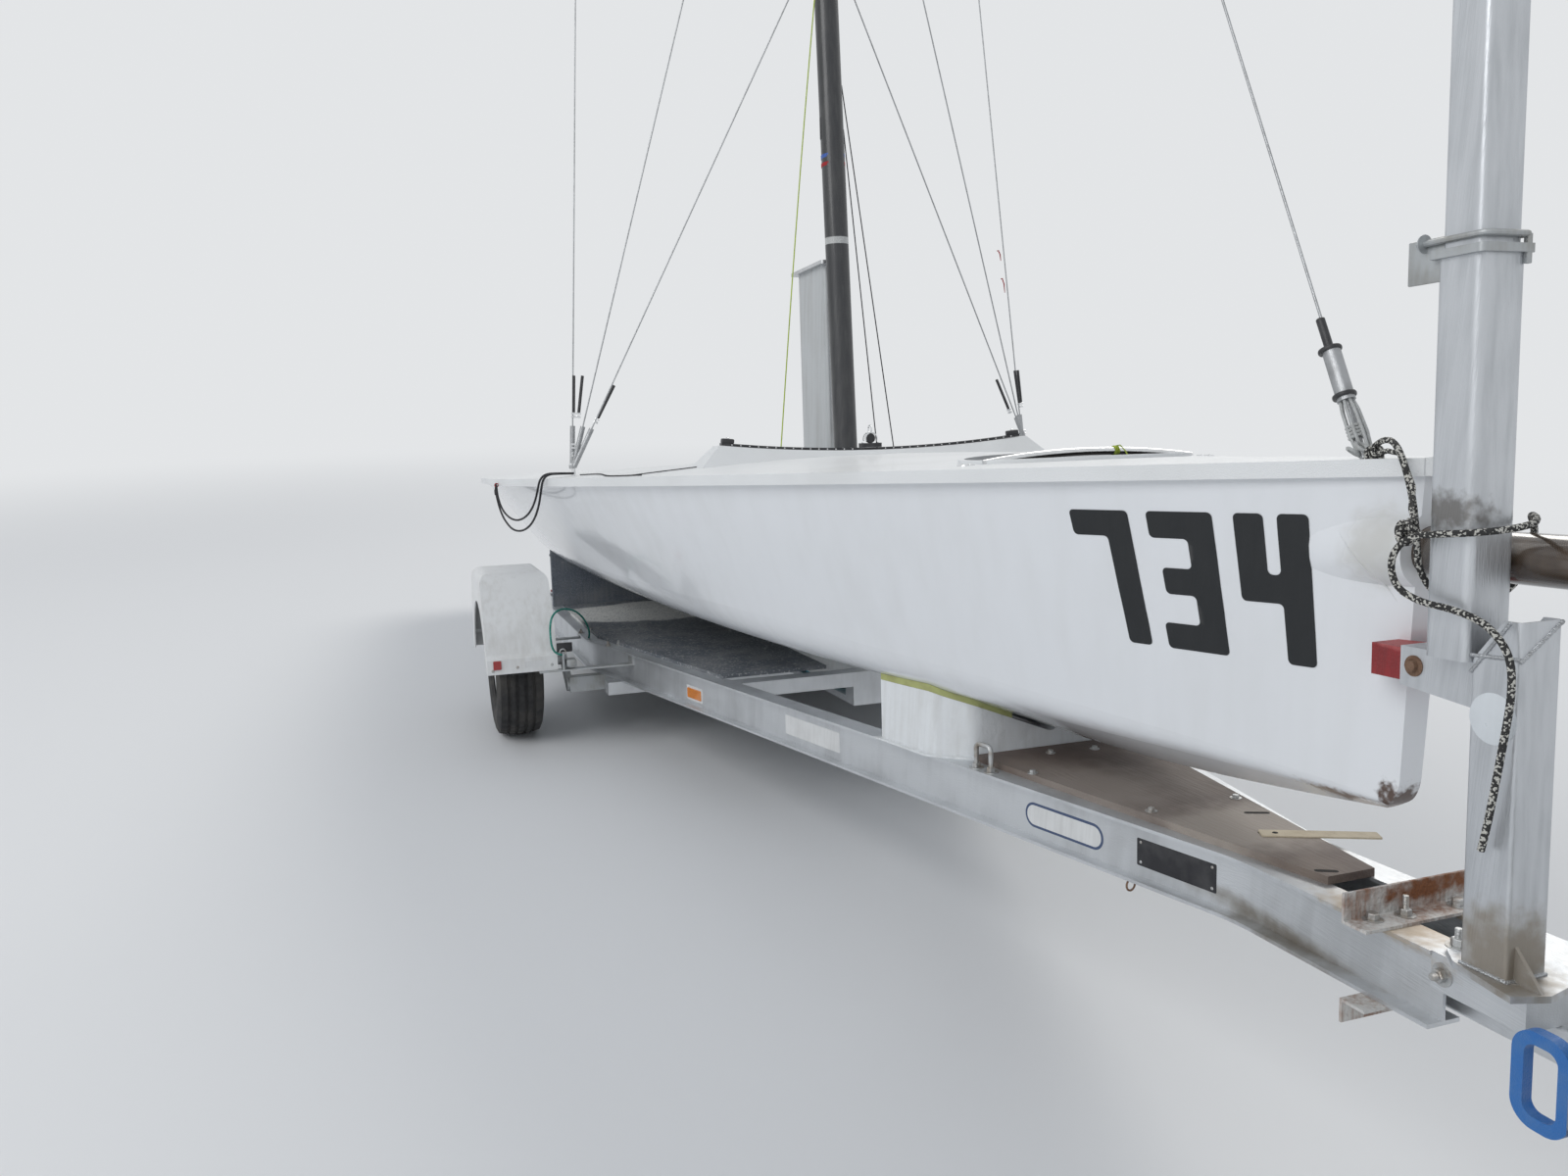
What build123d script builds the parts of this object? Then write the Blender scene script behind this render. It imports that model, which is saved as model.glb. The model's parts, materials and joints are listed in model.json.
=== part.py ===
"""Sport dinghy with a lifting keel, parked nose up on its aluminium trailer.

Every piece is drawn in the trailer's own level frame, in millimetres: x runs forward from
the axle, y to port and z up from the axle's centre. The last step tilts them all nose up about
the axle, as the trailer parks, and moves them so that the whole model stands on z = 0 with its
middle over the origin.
"""
import os
from math import atan2, cos, degrees, hypot, pi, radians, sin, sqrt, tan

from build123d import *

os.makedirs("parts", exist_ok=True)

# How it parks
nose_up = 6.3
wheel_radius = 292.0

# Hull
hull_length = 5790.0
stem_x = 3473.0
sheer_bow_z = 807.0
sheer_fall = 75.0
stem_rake = 40.0
forefoot_radius = 70.0
keel_round = 20.0

# Deck
deck_edge = 28.0
deck_overhang = 14.0
deck_nose_reach = 20.0

# Cockpit
cockpit_front = 3080.0
cockpit_half_width = 640.0
cockpit_sole_z = 425.0
cockpit_corner = 90.0
cockpit_flare = 8.0

# Fits
seat_gap = 0.3
running_gap = 0.05
slide_gap = 0.5

# Bowsprit
sprit_radius = 38.0
sprit_length = 2150.0
sprit_reach = 330.0
sprit_z = 662.0
sprit_stroke_in = 300.0
nose_radius = 58.0
nose_root_radius = 112.0
nose_length = 260.0

# Spinnaker chute, a wide mouth with a raised rim and an arched tube across it
chute_from_stem = 1013.0
chute_length = 340.0
chute_width = 560.0
chute_depth = 40.0
chute_rim_width = 14.0
chute_rim_height = 8.0
hoop_radius = 9.0
hoop_forward = 60.0
hoop_rise = 14.0
hoop_overlap = 16.0

# Mast and rigging
mast_from_stem = 2480.0
mast_radius = 41.0
mast_length = 8200.0
mast_rake = 2.8
mast_step_height = 14.0
lowers_height = 1720.0
spreader_height = 3120.0
spreader_reach = 700.0
spreader_sweep = 380.0
spreader_radius = 11.0
hounds_height = 6000.0
forestay_from_stem = 150.0
stay_radius = 2.5
lashing_length = 105.0
lashing_radius = 6.0
drum_length = 96.0
drum_radius = 15.0
chainplate_from_stem = 2810.0
chainplate_y = 918.0
chainplate_length = 70.0
chainplate_rise = 28.0
chainplate_thickness = 6.0
turnbuckle_length = 150.0
turnbuckle_radius = 9.0

# Jib track
track_from_stem = 2210.0
track_half_width = 535.0
track_end_lift = 88.0
track_middle_lift = 58.0
track_width = 26.0
track_height = 8.0
moulding_width = 190.0
moulding_top_width = 64.0
moulding_shoulder = 15.0
moulding_toe = 620.0
car_length = 44.0
car_width = 70.0
car_y = -20.0
car_height = 14.0
sheave_radius = 16.0
sheave_width = 12.0

# Keel
keel_from_stem = 2753.0
fin_chord = 280.0
fin_thickness = 32.0
fin_top_z = 1500.0
fin_clearance = 4.0
bulb_nose = 350.0
bulb_tail = 700.0
bulb_radius = 82.0
bulb_z = 42.0
bulb_stations = 7
cap_length = 340.0
cap_width = 70.0
cap_thickness = 12.0

# Trailer rails
rail_height = 125.0
rail_flange = 64.0
rail_flange_thickness = 7.0
rail_web = 6.0
rail_top_z = 75.0
rail_rear_x = -1900.0
rail_rear_y = 775.0
rail_bend_x = -20.0
rail_bend_radius = 420.0
rail_meet_x = 3150.0
rail_front_x = 3580.0
rail_front_y = 75.0

# Nose box, drawbar and coupling
nose_box_length = 155.0
nose_box_half_width = 104.0
nose_box_height = 58.0
angle_leg = 50.0
angle_thickness = 5.0
angle_rear_x = 3452.0
angle_y_low = -150.0
angle_y_high = 110.0
lower_angle_drop = 40.0
drawbar_width = 80.0
drawbar_height = 60.0
drawbar_tail_x = 2700.0
drawbar_front_x = 4230.0
coupling_length = 260.0
coupling_height = 34.0
ball_radius = 25.0
ball_from_end = 60.0
cup_radius = 42.0
cup_drop = 22.0
latch_width = 26.0
latch_thickness = 9.0

# Cross beams
beam_width = 75.0
beam_height = 50.0
front_beam_x = 1120.0
rear_beam_x = -1860.0
low_beam_x = 305.0
low_beam_overhang = 45.0
bed_width = 120.0
bed_hollow = 12.0

# Trailer floor
floor_thickness = 12.0
floor_inset = 20.0
floor_rear_x = -1100.0
floor_front_x = 1080.0
floor_slot_half_width = 130.0
ply_thickness = 15.0
ply_inset = 24.0
ply_gap = 2.0
ply_front_x = 3320.0

# Axle and wheels
track_width_wheels = 2220.0
axle_beam = 60.0
axle_beam_x = 130.0
arm_y = 905.0
arm_thickness = 22.0
arm_height = 58.0
stub_radius = 20.0
stub_reach = 30.0
tyre_width = 185.0
rim_radius = 172.0
rim_width = 140.0
rim_lip = 12.0
rim_step = 22.0
disc_outer_y = 20.0
disc_thickness = 12.0
rim_hole_count = 10
rim_hole_circle = 112.0
rim_hole_radius = 15.0
hub_cap_radius = 34.0
hub_cap_length = 26.0
guard_width = 265.0
guard_wall = 5.0
guard_edge_round = 38.0
guard_foot_x = 385.0
guard_foot_z = 30.0
guard_shoulder_x = 345.0
guard_shoulder_z = 200.0
guard_top_x = 215.0
guard_top_z = 398.0
guard_arch_clearance = 40.0
guard_arch_drop = 60.0
guard_lip_height = 72.0
guard_lip_reach = 16.0
bracket_width = 40.0
bracket_thickness = 6.0
bracket_rise = 34.0
bracket_reach = 72.0
lug_height = 70.0
lug_y = 958.0

# Tail lamps
lamp_width = 160.0
lamp_height = 70.0
lamp_thickness = 32.0

# Rudder fittings on the transom
gudgeon_heights = (312.0, 398.0)
gudgeon_plate_width = 70.0
gudgeon_plate_thickness = 5.0
gudgeon_height = 16.0
gudgeon_reach = 34.0
gudgeon_outer_radius = 11.0
gudgeon_pin_radius = 5.0

# Cradles
chock_rear_x = 2065.0
chock_corner_x = 2275.0
chock_front_x = 2345.0
chock_rear_half = 343.0
chock_corner_half = 300.0
chock_front_half = 215.0
chock_height = 255.0
chock_flange = 16.0
chock_flange_thickness = 4.0
chock_corner_round = 60.0
pad_thickness = 12.0
pad_inner_y = 110.0
cradle_x = -1180.0
cradle_thickness = 45.0
cradle_half_width = 790.0
cradle_height = 385.0

# Bow post
post_y = -82.0
post_side = 75.0
post_wall = 4.0
lower_post_x = 3678.0
lower_post_top_z = 590.0
upper_post_depth = 72.0
upper_post_width = 84.0
post_round = 12.0
upper_post_top_z = 1085.0
inner_top_z = 1780.0
inner_bottom_z = 640.0
post_mitre_depth = 50.0
gusset_reach = 42.0
gusset_height = 52.0
gusset_thickness = 6.0
gusset_y = -100.0
# Base plate's outline: x, y, with an ear out to starboard and ahead of the post
plate_outline = (
    (3600.0, 6.0),
    (3600.0, -98.0),
    (3634.0, -124.0),
    (3745.0, -147.0),
    (3764.0, -96.0),
    (3741.0, 6.0),
)
stop_arm_z = 495.0
stop_arm_height = 60.0
stop_arm_width = 60.0
stop_arm_taper = 14.0
stop_block_length = 62.0
stop_block_height = 50.0
stop_block_width = 130.0
stop_block_y = -20.0
stop_block_reach = 22.0
plate_thickness = 10.0
sprit_clearance = 7.0
crutch_depth = 50.0
crutch_width = 170.0
crutch_height = 200.0
crutch_throat = 110.0

# Jockey wheel
jockey_x = 3872.0
jockey_y = -138.0
jockey_outer_radius = 29.0
jockey_inner_radius = 24.0
jockey_top_z = 300.0
jockey_outer_length = 520.0
jockey_wheel_radius = 100.0
jockey_wheel_width = 60.0
jockey_trail = 35.0
jockey_leg_length = 470.0
jockey_axle_radius = 8.0
swivel_radius = 10.0
swivel_length = 60.0
jockey_cap_height = 6.0
jockey_stud_radius = 9.0
jockey_stud_height = 30.0
clamp_wall = 9.0
clamp_neck = 46.0
fork_plate = 8.0
fork_cheek = 6.0
fork_clearance = 9.0
fork_rise = 18.0
fork_half_width = 22.0
fork_shoulder = 20.0
fork_top_rear = -8.0
fork_top_front = 52.0
fork_length = 64.0
wheel_shoulder = 14.0
handle_reach = 84.0
handle_height = 136.0
handle_bar = 18.0
handle_round = 34.0
handle_z = -8.0
handle_y = -150.0

# Cords, each a route of hand-chosen points
bow_rope_radius = 5.0
bow_rope_route = (
    (3344, -16, 804), (3362, -24, 822), (3396, -36, 837), (3440, -58, 833), (3478, -78, 800), (3500, -82, 745),
    (3502, -76, 690), (3496, -64, 638), (3506, -36, 594), (3532, 8, 580), (3558, 48, 604),
    (3576, 66, 652), (3592, 52, 702), (3614, 12, 726), (3648, -14, 722), (3669, -50, 716),
    (3669, -102, 711), (3650, -144, 708), (3610, -152, 705), (3562, -155, 700), (3531, -157, 668),
    (3540, -156, 624), (3582, -153, 606), (3635, -150, 602), (3686, -146, 588), (3720, -142, 550),
    (3722, -140, 494), (3711, -138, 430), (3700, -137, 362), (3690, -136, 305), (3682, -136, 268),
)
stern_rope_radius = 4.0
stern_rope_route = (
    (656, -919, 786), (646, -964, 787), (631, -1004, 786), (621, -1024, 766), (606, -1030, 724),
    (566, -1036, 670), (494, -1045, 622), (402, -1056, 589), (290, -1068, 568), (168, -1079, 559),
    (48, -1089, 562), (-70, -1096, 578), (-170, -1102, 600), (-240, -1107, 630), (-280, -1111, 662),
    (-304, -1114, 694), (-303, -1115, 716), (-289, -1115, 733), (-267, -1115, 737), (-248, -1115, 727),
    (-230, -1114, 688), (-186, -1109, 650), (-118, -1101, 622), (-10, -1091, 605), (112, -1082, 600),
    (232, -1072, 606), (350, -1061, 624), (450, -1051, 652), (528, -1042, 692), (572, -1036, 736),
    (594, -1030, 768), (604, -1010, 787), (622, -968, 788), (640, -919, 786),
)
rail_cord_radius = 4.0
rail_cord_route = (
    (400, -958, 88), (403, -984, 94), (412, -1000, 122), (422, -1004, 160), (418, -1004, 200),
    (398, -994, 236), (360, -970, 254), (292, -930, 254), (206, -874, 230), (120, -830, 186),
    (52, -802, 134), (-4, -790, 98), (-46, -788, 72),
)

# Hull sections: share of the length aft of the stem, half beam, bilge y, bilge z, keel z, bilge radius
hull_sections = (
    (0.0000, 20.0, 14.0, 241.0, 238.0, 5.0),
    (0.1036, 295.0, 150.0, 253.0, 163.0, 90.0),
    (0.2073, 520.0, 330.0, 264.0, 132.0, 160.0),
    (0.3454, 779.0, 560.0, 287.0, 136.0, 220.0),
    (0.5181, 1020.0, 720.0, 316.0, 165.0, 260.0),
    (0.6908, 1095.0, 780.0, 335.0, 206.0, 240.0),
    (0.8636, 1059.0, 760.0, 336.0, 245.0, 200.0),
    (1.0000, 1016.0, 713.0, 343.0, 279.0, 160.0),
)
# Deck crown at those sections: flat ahead of the chute, humped behind it
deck_crown = (2.0, 3.0, 22.0, 42.0, 42.0, 36.0, 32.0, 30.0)


def section_plane(x):
    """A plane across the boat at x, with y to the right and z up."""
    return Plane(origin=(x, 0, 0), x_dir=(0, 1, 0), z_dir=(1, 0, 0))


def sheer_z(x):
    """Height of the sheer line at x."""
    return sheer_bow_z - sheer_fall * (stem_x - x) / hull_length


def crown_at(x):
    """Height of the deck's crown above the sheer at x."""
    aft = (stem_x - x) / hull_length
    for near, far, low, high in zip(hull_sections, hull_sections[1:], deck_crown, deck_crown[1:]):
        if near[0] <= aft <= far[0]:
            share = (aft - near[0]) / (far[0] - near[0])
            return low + share * (high - low)
    return deck_crown[-1]


def deck_z(x, y=0.0):
    """Height of the deck's top surface at x and y."""
    half = half_beam_at(x) + deck_overhang
    return sheer_z(x) + crown_at(x) * (1 - (y / half) ** 2)


def half_beam_at(x):
    """Half beam at the sheer at x."""
    aft = (stem_x - x) / hull_length
    for near, far in zip(hull_sections, hull_sections[1:]):
        if near[0] <= aft <= far[0]:
            share = (aft - near[0]) / (far[0] - near[0])
            return near[1] + share * (far[1] - near[1])
    return hull_sections[-1][1]


def hull_loft(grow=0.0, first=0, last=None):
    """The hull's body between two sections, its skin moved out by grow."""
    chosen = hull_sections[first:last]
    with BuildPart() as body:
        for aft, half_beam, bilge_y, bilge_z, keel_z, bilge_radius in chosen:
            x = stem_x - aft * hull_length
            top = sheer_z(x) - deck_edge
            flare = (half_beam - bilge_y) / (sheer_z(x) - bilge_z)
            edge_y = bilge_y + flare * (top - bilge_z) + grow
            with BuildSketch(section_plane(x)):
                with BuildLine():
                    FilletPolyline(
                        (-edge_y, top),
                        (-bilge_y - grow, bilge_z - grow),
                        (0, keel_z - grow),
                        (bilge_y + grow, bilge_z - grow),
                        (edge_y, top),
                        radius=[bilge_radius, keel_round, bilge_radius],
                    )
                    Line((edge_y, top), (-edge_y, top))
                make_face()
        loft()
    return body.part


def deck_loft(lift=0.0):
    """The deck's slab with its crowned top raised by lift."""
    with BuildPart() as slab:
        for (aft, half_beam, *_), crown in zip(hull_sections, deck_crown):
            x = stem_x - aft * hull_length
            half = half_beam + deck_overhang
            edge = sheer_z(x) + lift
            bottom = sheer_z(x) - deck_edge
            with BuildSketch(section_plane(x)):
                with BuildLine():
                    ThreePointArc((-half, edge), (0, edge + crown), (half, edge))
                    Polyline((half, edge), (half, bottom), (-half, bottom), (-half, edge))
                make_face()
        loft()
    return slab.part


pieces = {}


def keep(piece, label):
    """Name a finished piece and put it by for the trailer's tilt."""
    piece.part.label = label
    pieces[label] = piece.part


def rod(start, end, radius):
    """A round rod between two points, as an object of its own."""
    way = Vector(*end) - Vector(*start)
    with BuildPart() as bar:
        with BuildSketch(Plane(origin=start, z_dir=way)):
            Circle(radius)
        extrude(amount=way.length)
    return bar.part


def cord_tube(route, radius):
    """A cord's plain tube: straight runs along its route, joined by tangent arcs."""
    points = [Vector(*point) for point in route]
    radii = []
    for before, corner, after in zip(points, points[1:], points[2:]):
        turn = radians((corner - before).get_angle(after - corner))
        shorter_run = min((corner - before).length, (after - corner).length)
        radii.append(0.45 * shorter_run / tan(turn / 2))
    with BuildPart() as tube:
        with BuildLine() as path:
            FilletPolyline(*points, radius=radii)
        way = path.wires()[0]
        with BuildSketch(Plane(origin=way @ 0, z_dir=way % 0)):
            Circle(radius)
        sweep(path=way)
    length = way.length
    filled = tube.part.volume / (pi * radius ** 2 * length)
    print("cord", round(length), "mm, tightest arc", round(min(radii), 1), "mm, filled", round(filled, 4))
    return tube


# Hull
fin_x = stem_x - keel_from_stem
transom_x = stem_x - hull_length
cockpit_front_x = stem_x - cockpit_front
cockpit_plane = Plane.XY.offset(cockpit_sole_z)
cockpit_length = cockpit_front_x - transom_x + 200
cockpit_middle_x = cockpit_front_x - cockpit_length / 2
sprit_tail_x = stem_x + sprit_reach - sprit_length
sprit_bore_length = stem_x - sprit_tail_x + sprit_stroke_in + 40
sprit_plane = Plane(origin=(stem_x, 0, sprit_z), x_dir=(0, 1, 0), z_dir=(-1, 0, 0))


with BuildPart() as cockpit_well:
    with BuildSketch(cockpit_plane):
        with Locations((cockpit_middle_x, 0)):
            RectangleRounded(cockpit_length, 2 * cockpit_half_width, cockpit_corner)
    extrude(amount=700, taper=-cockpit_flare)

# The trunk that the lifting fin slides in
with BuildPart() as fin_trunk:
    with BuildSketch(Plane.XY):
        with Locations((fin_x, 0)):
            SlotOverall(fin_chord + 2 * fin_clearance, fin_thickness + 2 * fin_clearance)
    extrude(amount=1200)

chute_x = stem_x - chute_from_stem
chute_floor_z = sheer_z(chute_x) - deck_edge - chute_depth
with BuildPart() as chute_well:
    with BuildSketch(Plane.XY.offset(chute_floor_z)):
        with Locations((chute_x, 0)):
            Ellipse(chute_length / 2, chute_width / 2)
    extrude(amount=200)

with BuildPart() as hull:
    add(hull_loft())
    # The moulded nose round the bowsprit's exit swells into the topsides
    with BuildSketch(sprit_plane):
        Circle(nose_radius)
    with BuildSketch(sprit_plane.offset(nose_length)):
        Circle(nose_root_radius)
    loft()
    add(cockpit_well.part, mode=Mode.SUBTRACT)
    add(fin_trunk.part, mode=Mode.SUBTRACT)
    add(chute_well.part, mode=Mode.SUBTRACT)
    with BuildSketch(sprit_plane.offset(-50)):
        Circle(sprit_radius + slide_gap)
    extrude(amount=sprit_bore_length + 50, mode=Mode.SUBTRACT)
    # The side profile gives the stem its rake and the forefoot its round
    with BuildSketch(Plane.XZ) as profile:
        with BuildLine():
            FilletPolyline(
                (stem_x, 900),
                (stem_x - stem_rake, 236),
                (stem_x - 600, 100),
                radius=forefoot_radius,
            )
            Polyline((stem_x - 600, 100), (transom_x - 100, 100), (transom_x - 100, 900), (stem_x, 900))
        make_face()
    extrude(amount=1500, both=True, mode=Mode.INTERSECT)
keep(hull, "hull")

# Deck, with its overhanging edge, rounded nose and the chute's raised rim
deck_nose_radius = hull_sections[0][1] + deck_overhang
with BuildPart() as chute_rim:
    with BuildSketch(Plane.XY.offset(chute_floor_z)):
        with Locations((chute_x, 0)):
            Ellipse(chute_length / 2 + chute_rim_width, chute_width / 2 + chute_rim_width)
    extrude(amount=200)
    add(deck_loft(chute_rim_height), mode=Mode.INTERSECT)

with BuildPart() as deck:
    add(deck_loft())
    with BuildSketch(Plane.XY.offset(sheer_bow_z - deck_edge)):
        with Locations((stem_x + deck_nose_reach - deck_nose_radius, 0)):
            Circle(deck_nose_radius)
    extrude(amount=deck_edge)
    add(chute_rim.part)
    add(cockpit_well.part, mode=Mode.SUBTRACT)
    add(fin_trunk.part, mode=Mode.SUBTRACT)
    add(chute_well.part, mode=Mode.SUBTRACT)
keep(deck, "deck")

# Bowsprit pole
with BuildPart() as bowsprit:
    with BuildSketch(sprit_plane.offset(-sprit_reach)):
        Circle(sprit_radius)
    extrude(amount=sprit_length)
keep(bowsprit, "bowsprit")

# Arched tube across the chute's mouth, its feet seated on the rim
hoop_x = chute_x + hoop_forward
mouth_half = chute_width / 2 * sqrt(1 - (2 * hoop_forward / chute_length) ** 2)
hoop_half = mouth_half + hoop_overlap
hoop_foot_z = deck_z(hoop_x, hoop_half)
hoop_crown_z = deck_z(hoop_x) + hoop_rise
with BuildPart() as chute_hoop:
    with BuildLine() as hoop_line:
        ThreePointArc(
            (hoop_x, -hoop_half, hoop_foot_z),
            (hoop_x, 0, hoop_crown_z),
            (hoop_x, hoop_half, hoop_foot_z),
        )
    with BuildSketch(Plane(origin=hoop_line.line @ 0, z_dir=hoop_line.line % 0)):
        Circle(hoop_radius)
    sweep(path=hoop_line.line)
    add(deck.part, mode=Mode.SUBTRACT)
keep(chute_hoop, "chute_hoop")

# Jib track on its raised moulding
track_x = stem_x - track_from_stem
track_base_z = sheer_z(track_x)
moulding_half = track_half_width + moulding_shoulder
moulding_top_z = track_base_z + track_end_lift
with BuildPart() as jib_moulding:
    with BuildSketch(section_plane(track_x - moulding_width / 2)):
        with BuildLine():
            ThreePointArc(
                (-moulding_half, moulding_top_z),
                (0, track_base_z + track_middle_lift),
                (moulding_half, moulding_top_z),
            )
            Polyline(
                (moulding_half, moulding_top_z),
                (moulding_toe, deck_z(track_x, moulding_toe)),
                (0, deck_z(track_x) - deck_edge / 2),
                (-moulding_toe, deck_z(track_x, moulding_toe)),
                (-moulding_half, moulding_top_z),
            )
        make_face()
    extrude(amount=moulding_width)
    # Its front and back lean in to the track
    with BuildSketch(Plane.XZ) as lean:
        with BuildLine():
            Polyline(
                (track_x - moulding_width / 2, track_base_z),
                (track_x + moulding_width / 2, track_base_z),
                (track_x + moulding_top_width / 2, moulding_top_z),
                (track_x - moulding_top_width / 2, moulding_top_z),
                close=True,
            )
        make_face()
    extrude(amount=moulding_toe, both=True, mode=Mode.INTERSECT)
    add(deck.part, mode=Mode.SUBTRACT)
keep(jib_moulding, "jib_moulding")

track_arc_points = (
    (-track_half_width, track_base_z + track_end_lift),
    (0, track_base_z + track_middle_lift),
    (track_half_width, track_base_z + track_end_lift),
)
with BuildPart() as jib_track:
    with BuildSketch(section_plane(track_x - track_width / 2)):
        with BuildLine():
            low = ThreePointArc(*[(y, z + seat_gap) for y, z in track_arc_points])
            high = ThreePointArc(*[(y, z + seat_gap + track_height) for y, z in track_arc_points])
            Line(low @ 0, high @ 0)
            Line(low @ 1, high @ 1)
        make_face()
    extrude(amount=track_width)
keep(jib_track, "jib_track")

car_z = track_base_z + track_middle_lift + track_height + 3 * seat_gap
sheave_z = car_z + car_height + sheave_radius - seat_gap
with BuildPart() as jib_car:
    with BuildSketch(Plane.XY.offset(car_z)):
        with Locations((track_x, car_y)):
            RectangleRounded(car_length, car_width, 8)
    extrude(amount=car_height)
    sheave_origin = (track_x - sheave_width / 2, car_y, sheave_z)
    with BuildSketch(Plane(origin=sheave_origin, x_dir=(0, 1, 0), z_dir=(1, 0, 0))):
        Circle(sheave_radius)
    extrude(amount=sheave_width)
keep(jib_car, "jib_car")

# Mast, on its step
mast_foot_x = stem_x - mast_from_stem
mast_foot_z = deck_z(mast_foot_x) + mast_step_height
mast_way = Vector(-sin(radians(mast_rake)), 0, cos(radians(mast_rake)))
mast_foot = Vector(mast_foot_x, 0, mast_foot_z)
mast_across = (cos(radians(mast_rake)), 0, sin(radians(mast_rake)))
mast_plane = Plane(origin=mast_foot, x_dir=mast_across, z_dir=mast_way)
with BuildPart() as mast:
    with BuildSketch(mast_plane):
        Circle(mast_radius)
    extrude(amount=mast_length)
keep(mast, "mast")

with BuildPart() as mast_step:
    with BuildSketch(Plane.XY.offset(deck_z(mast_foot_x) - 1)):
        with Locations((mast_foot_x, 0)):
            RectangleRounded(150, 120, 20)
    extrude(amount=mast_step_height)
    add(deck.part, mode=Mode.SUBTRACT)
    add(mast.part, mode=Mode.SUBTRACT)
keep(mast_step, "mast_step")


def on_mast(height, side=0.0, forward=0.0):
    """A point beside the mast at a height up it."""
    return mast_foot + mast_way * height + Vector(forward, side, 0)


# Chainplates, turnbuckles and main stays
chainplate_x = stem_x - chainplate_from_stem
chainplate_z = deck_z(chainplate_x, chainplate_y)
with BuildPart() as chainplates:
    for side in (-1, 1):
        plate_corner = (chainplate_x, side * chainplate_y - chainplate_thickness / 2, chainplate_z)
        with BuildSketch(Plane(origin=plate_corner, x_dir=(1, 0, 0), z_dir=(0, 1, 0))):
            RectangleRounded(chainplate_length, 2 * chainplate_rise, 6)
        extrude(amount=chainplate_thickness)
    add(deck.part, mode=Mode.SUBTRACT)
keep(chainplates, "chainplates")

spreader_root = on_mast(spreader_height)
for side, name in ((-1, "starboard"), (1, "port")):
    foot = Vector(chainplate_x, side * chainplate_y, chainplate_z + chainplate_rise)
    tip = spreader_root + Vector(-spreader_sweep, side * spreader_reach, 0)
    hounds = on_mast(hounds_height, side * (mast_radius + stay_radius))
    ends = (tip, on_mast(spreader_height - 60, side * (mast_radius + stay_radius)),
            on_mast(lowers_height, side * (mast_radius + stay_radius)))
    for end, place, kind in zip(ends, (-22, 0, 22), ("cap", "inner", "lower")):
        way = (end - foot - Vector(place, 0, 0)).normalized()
        start = foot + Vector(place, 0, turnbuckle_radius * hypot(way.X, way.Y) + seat_gap)
        way = (end - start).normalized()
        with BuildPart() as stay:
            add(rod(start, start + way * turnbuckle_length, turnbuckle_radius))
            add(rod(start + way * (turnbuckle_length - 1), end, stay_radius))
            if kind == "cap":
                add(rod(end, hounds, stay_radius))
                add(rod(end - Vector(0, 0, 12), end + Vector(0, 0, 12), spreader_radius))
        keep(stay, f"shroud_{kind}_{name}")

with BuildPart() as spreaders:
    for side in (-1, 1):
        root = spreader_root + Vector(0, side * (mast_radius - 6), 0)
        tip = spreader_root + Vector(-spreader_sweep, side * spreader_reach, 0)
        way = (tip - root).normalized()
        add(rod(root, tip - way * (spreader_radius + 0.5), spreader_radius))
    add(mast.part, mode=Mode.SUBTRACT)
keep(spreaders, "spreaders")

# Forestay, with its furling drum above the deck
stay_foot_x = stem_x - forestay_from_stem
hounds = on_mast(hounds_height, 0, mast_radius + stay_radius)
stay_foot = Vector(stay_foot_x, 0, sheer_z(stay_foot_x))
stay_way = (hounds - stay_foot).normalized()
drum_foot = stay_foot + stay_way * lashing_length
with BuildPart() as forestay:
    add(rod(stay_foot, drum_foot, lashing_radius))
    add(rod(drum_foot, drum_foot + stay_way * drum_length, drum_radius))
    add(rod(drum_foot + stay_way * drum_length, hounds, stay_radius))
    add(deck.part, mode=Mode.SUBTRACT)
keep(forestay, "forestay")

# Lifting keel: a bulb, the fin that stands on it, and the fin's cap plate
# The bulb's radius falls along a quarter ellipse to its nose and along a cosine to its tail
bulb_outline = []
for step in range(bulb_stations):
    turn = radians(90 * step / bulb_stations)
    bulb_outline.append((fin_x + bulb_nose * cos(turn), bulb_z + bulb_radius * sin(turn)))
for step in range(bulb_stations + 1):
    share = step / bulb_stations
    bulb_outline.append((fin_x - bulb_tail * share, bulb_z + bulb_radius * cos(radians(90 * share)) ** 1.3))
with BuildPart() as keel_bulb:
    with BuildSketch(Plane.XZ):
        with BuildLine():
            Polyline(*bulb_outline, close=True)
        make_face()
    revolve(axis=Axis((fin_x, 0, bulb_z), (1, 0, 0)))
keep(keel_bulb, "keel_bulb")

with BuildPart() as keel_fin:
    with BuildSketch(Plane.XY.offset(bulb_z)):
        with Locations((fin_x, 0)):
            SlotOverall(fin_chord, fin_thickness)
    extrude(amount=fin_top_z - bulb_z)
    add(keel_bulb.part, mode=Mode.SUBTRACT)
keep(keel_fin, "keel_fin")

with BuildPart() as keel_cap:
    with BuildSketch(Plane.XY.offset(fin_top_z)):
        with Locations((fin_x, 0)):
            RectangleRounded(cap_length, cap_width, 12)
    extrude(amount=cap_thickness)
keep(keel_cap, "keel_cap")


# Trailer rails: bent I beams
def rail_part(side):
    """One I beam, parallel behind the axle and converging to the nose."""
    middle_z = rail_top_z - rail_height / 2
    with BuildPart() as rail:
        with BuildLine() as path:
            FilletPolyline(
                (rail_rear_x, side * rail_rear_y, middle_z),
                (rail_bend_x, side * rail_rear_y, middle_z),
                (rail_meet_x, side * rail_front_y, middle_z),
                (rail_front_x, side * rail_front_y, middle_z),
                radius=rail_bend_radius,
            )
        with BuildSketch(Plane(origin=path.line @ 0, x_dir=(0, 1, 0), z_dir=path.line % 0)):
            Rectangle(rail_web, rail_height)
            for lift in (-1, 1):
                with Locations((0, lift * (rail_height - rail_flange_thickness) / 2)):
                    Rectangle(rail_flange, rail_flange_thickness)
        sweep(path=path.line)
    return rail


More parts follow.
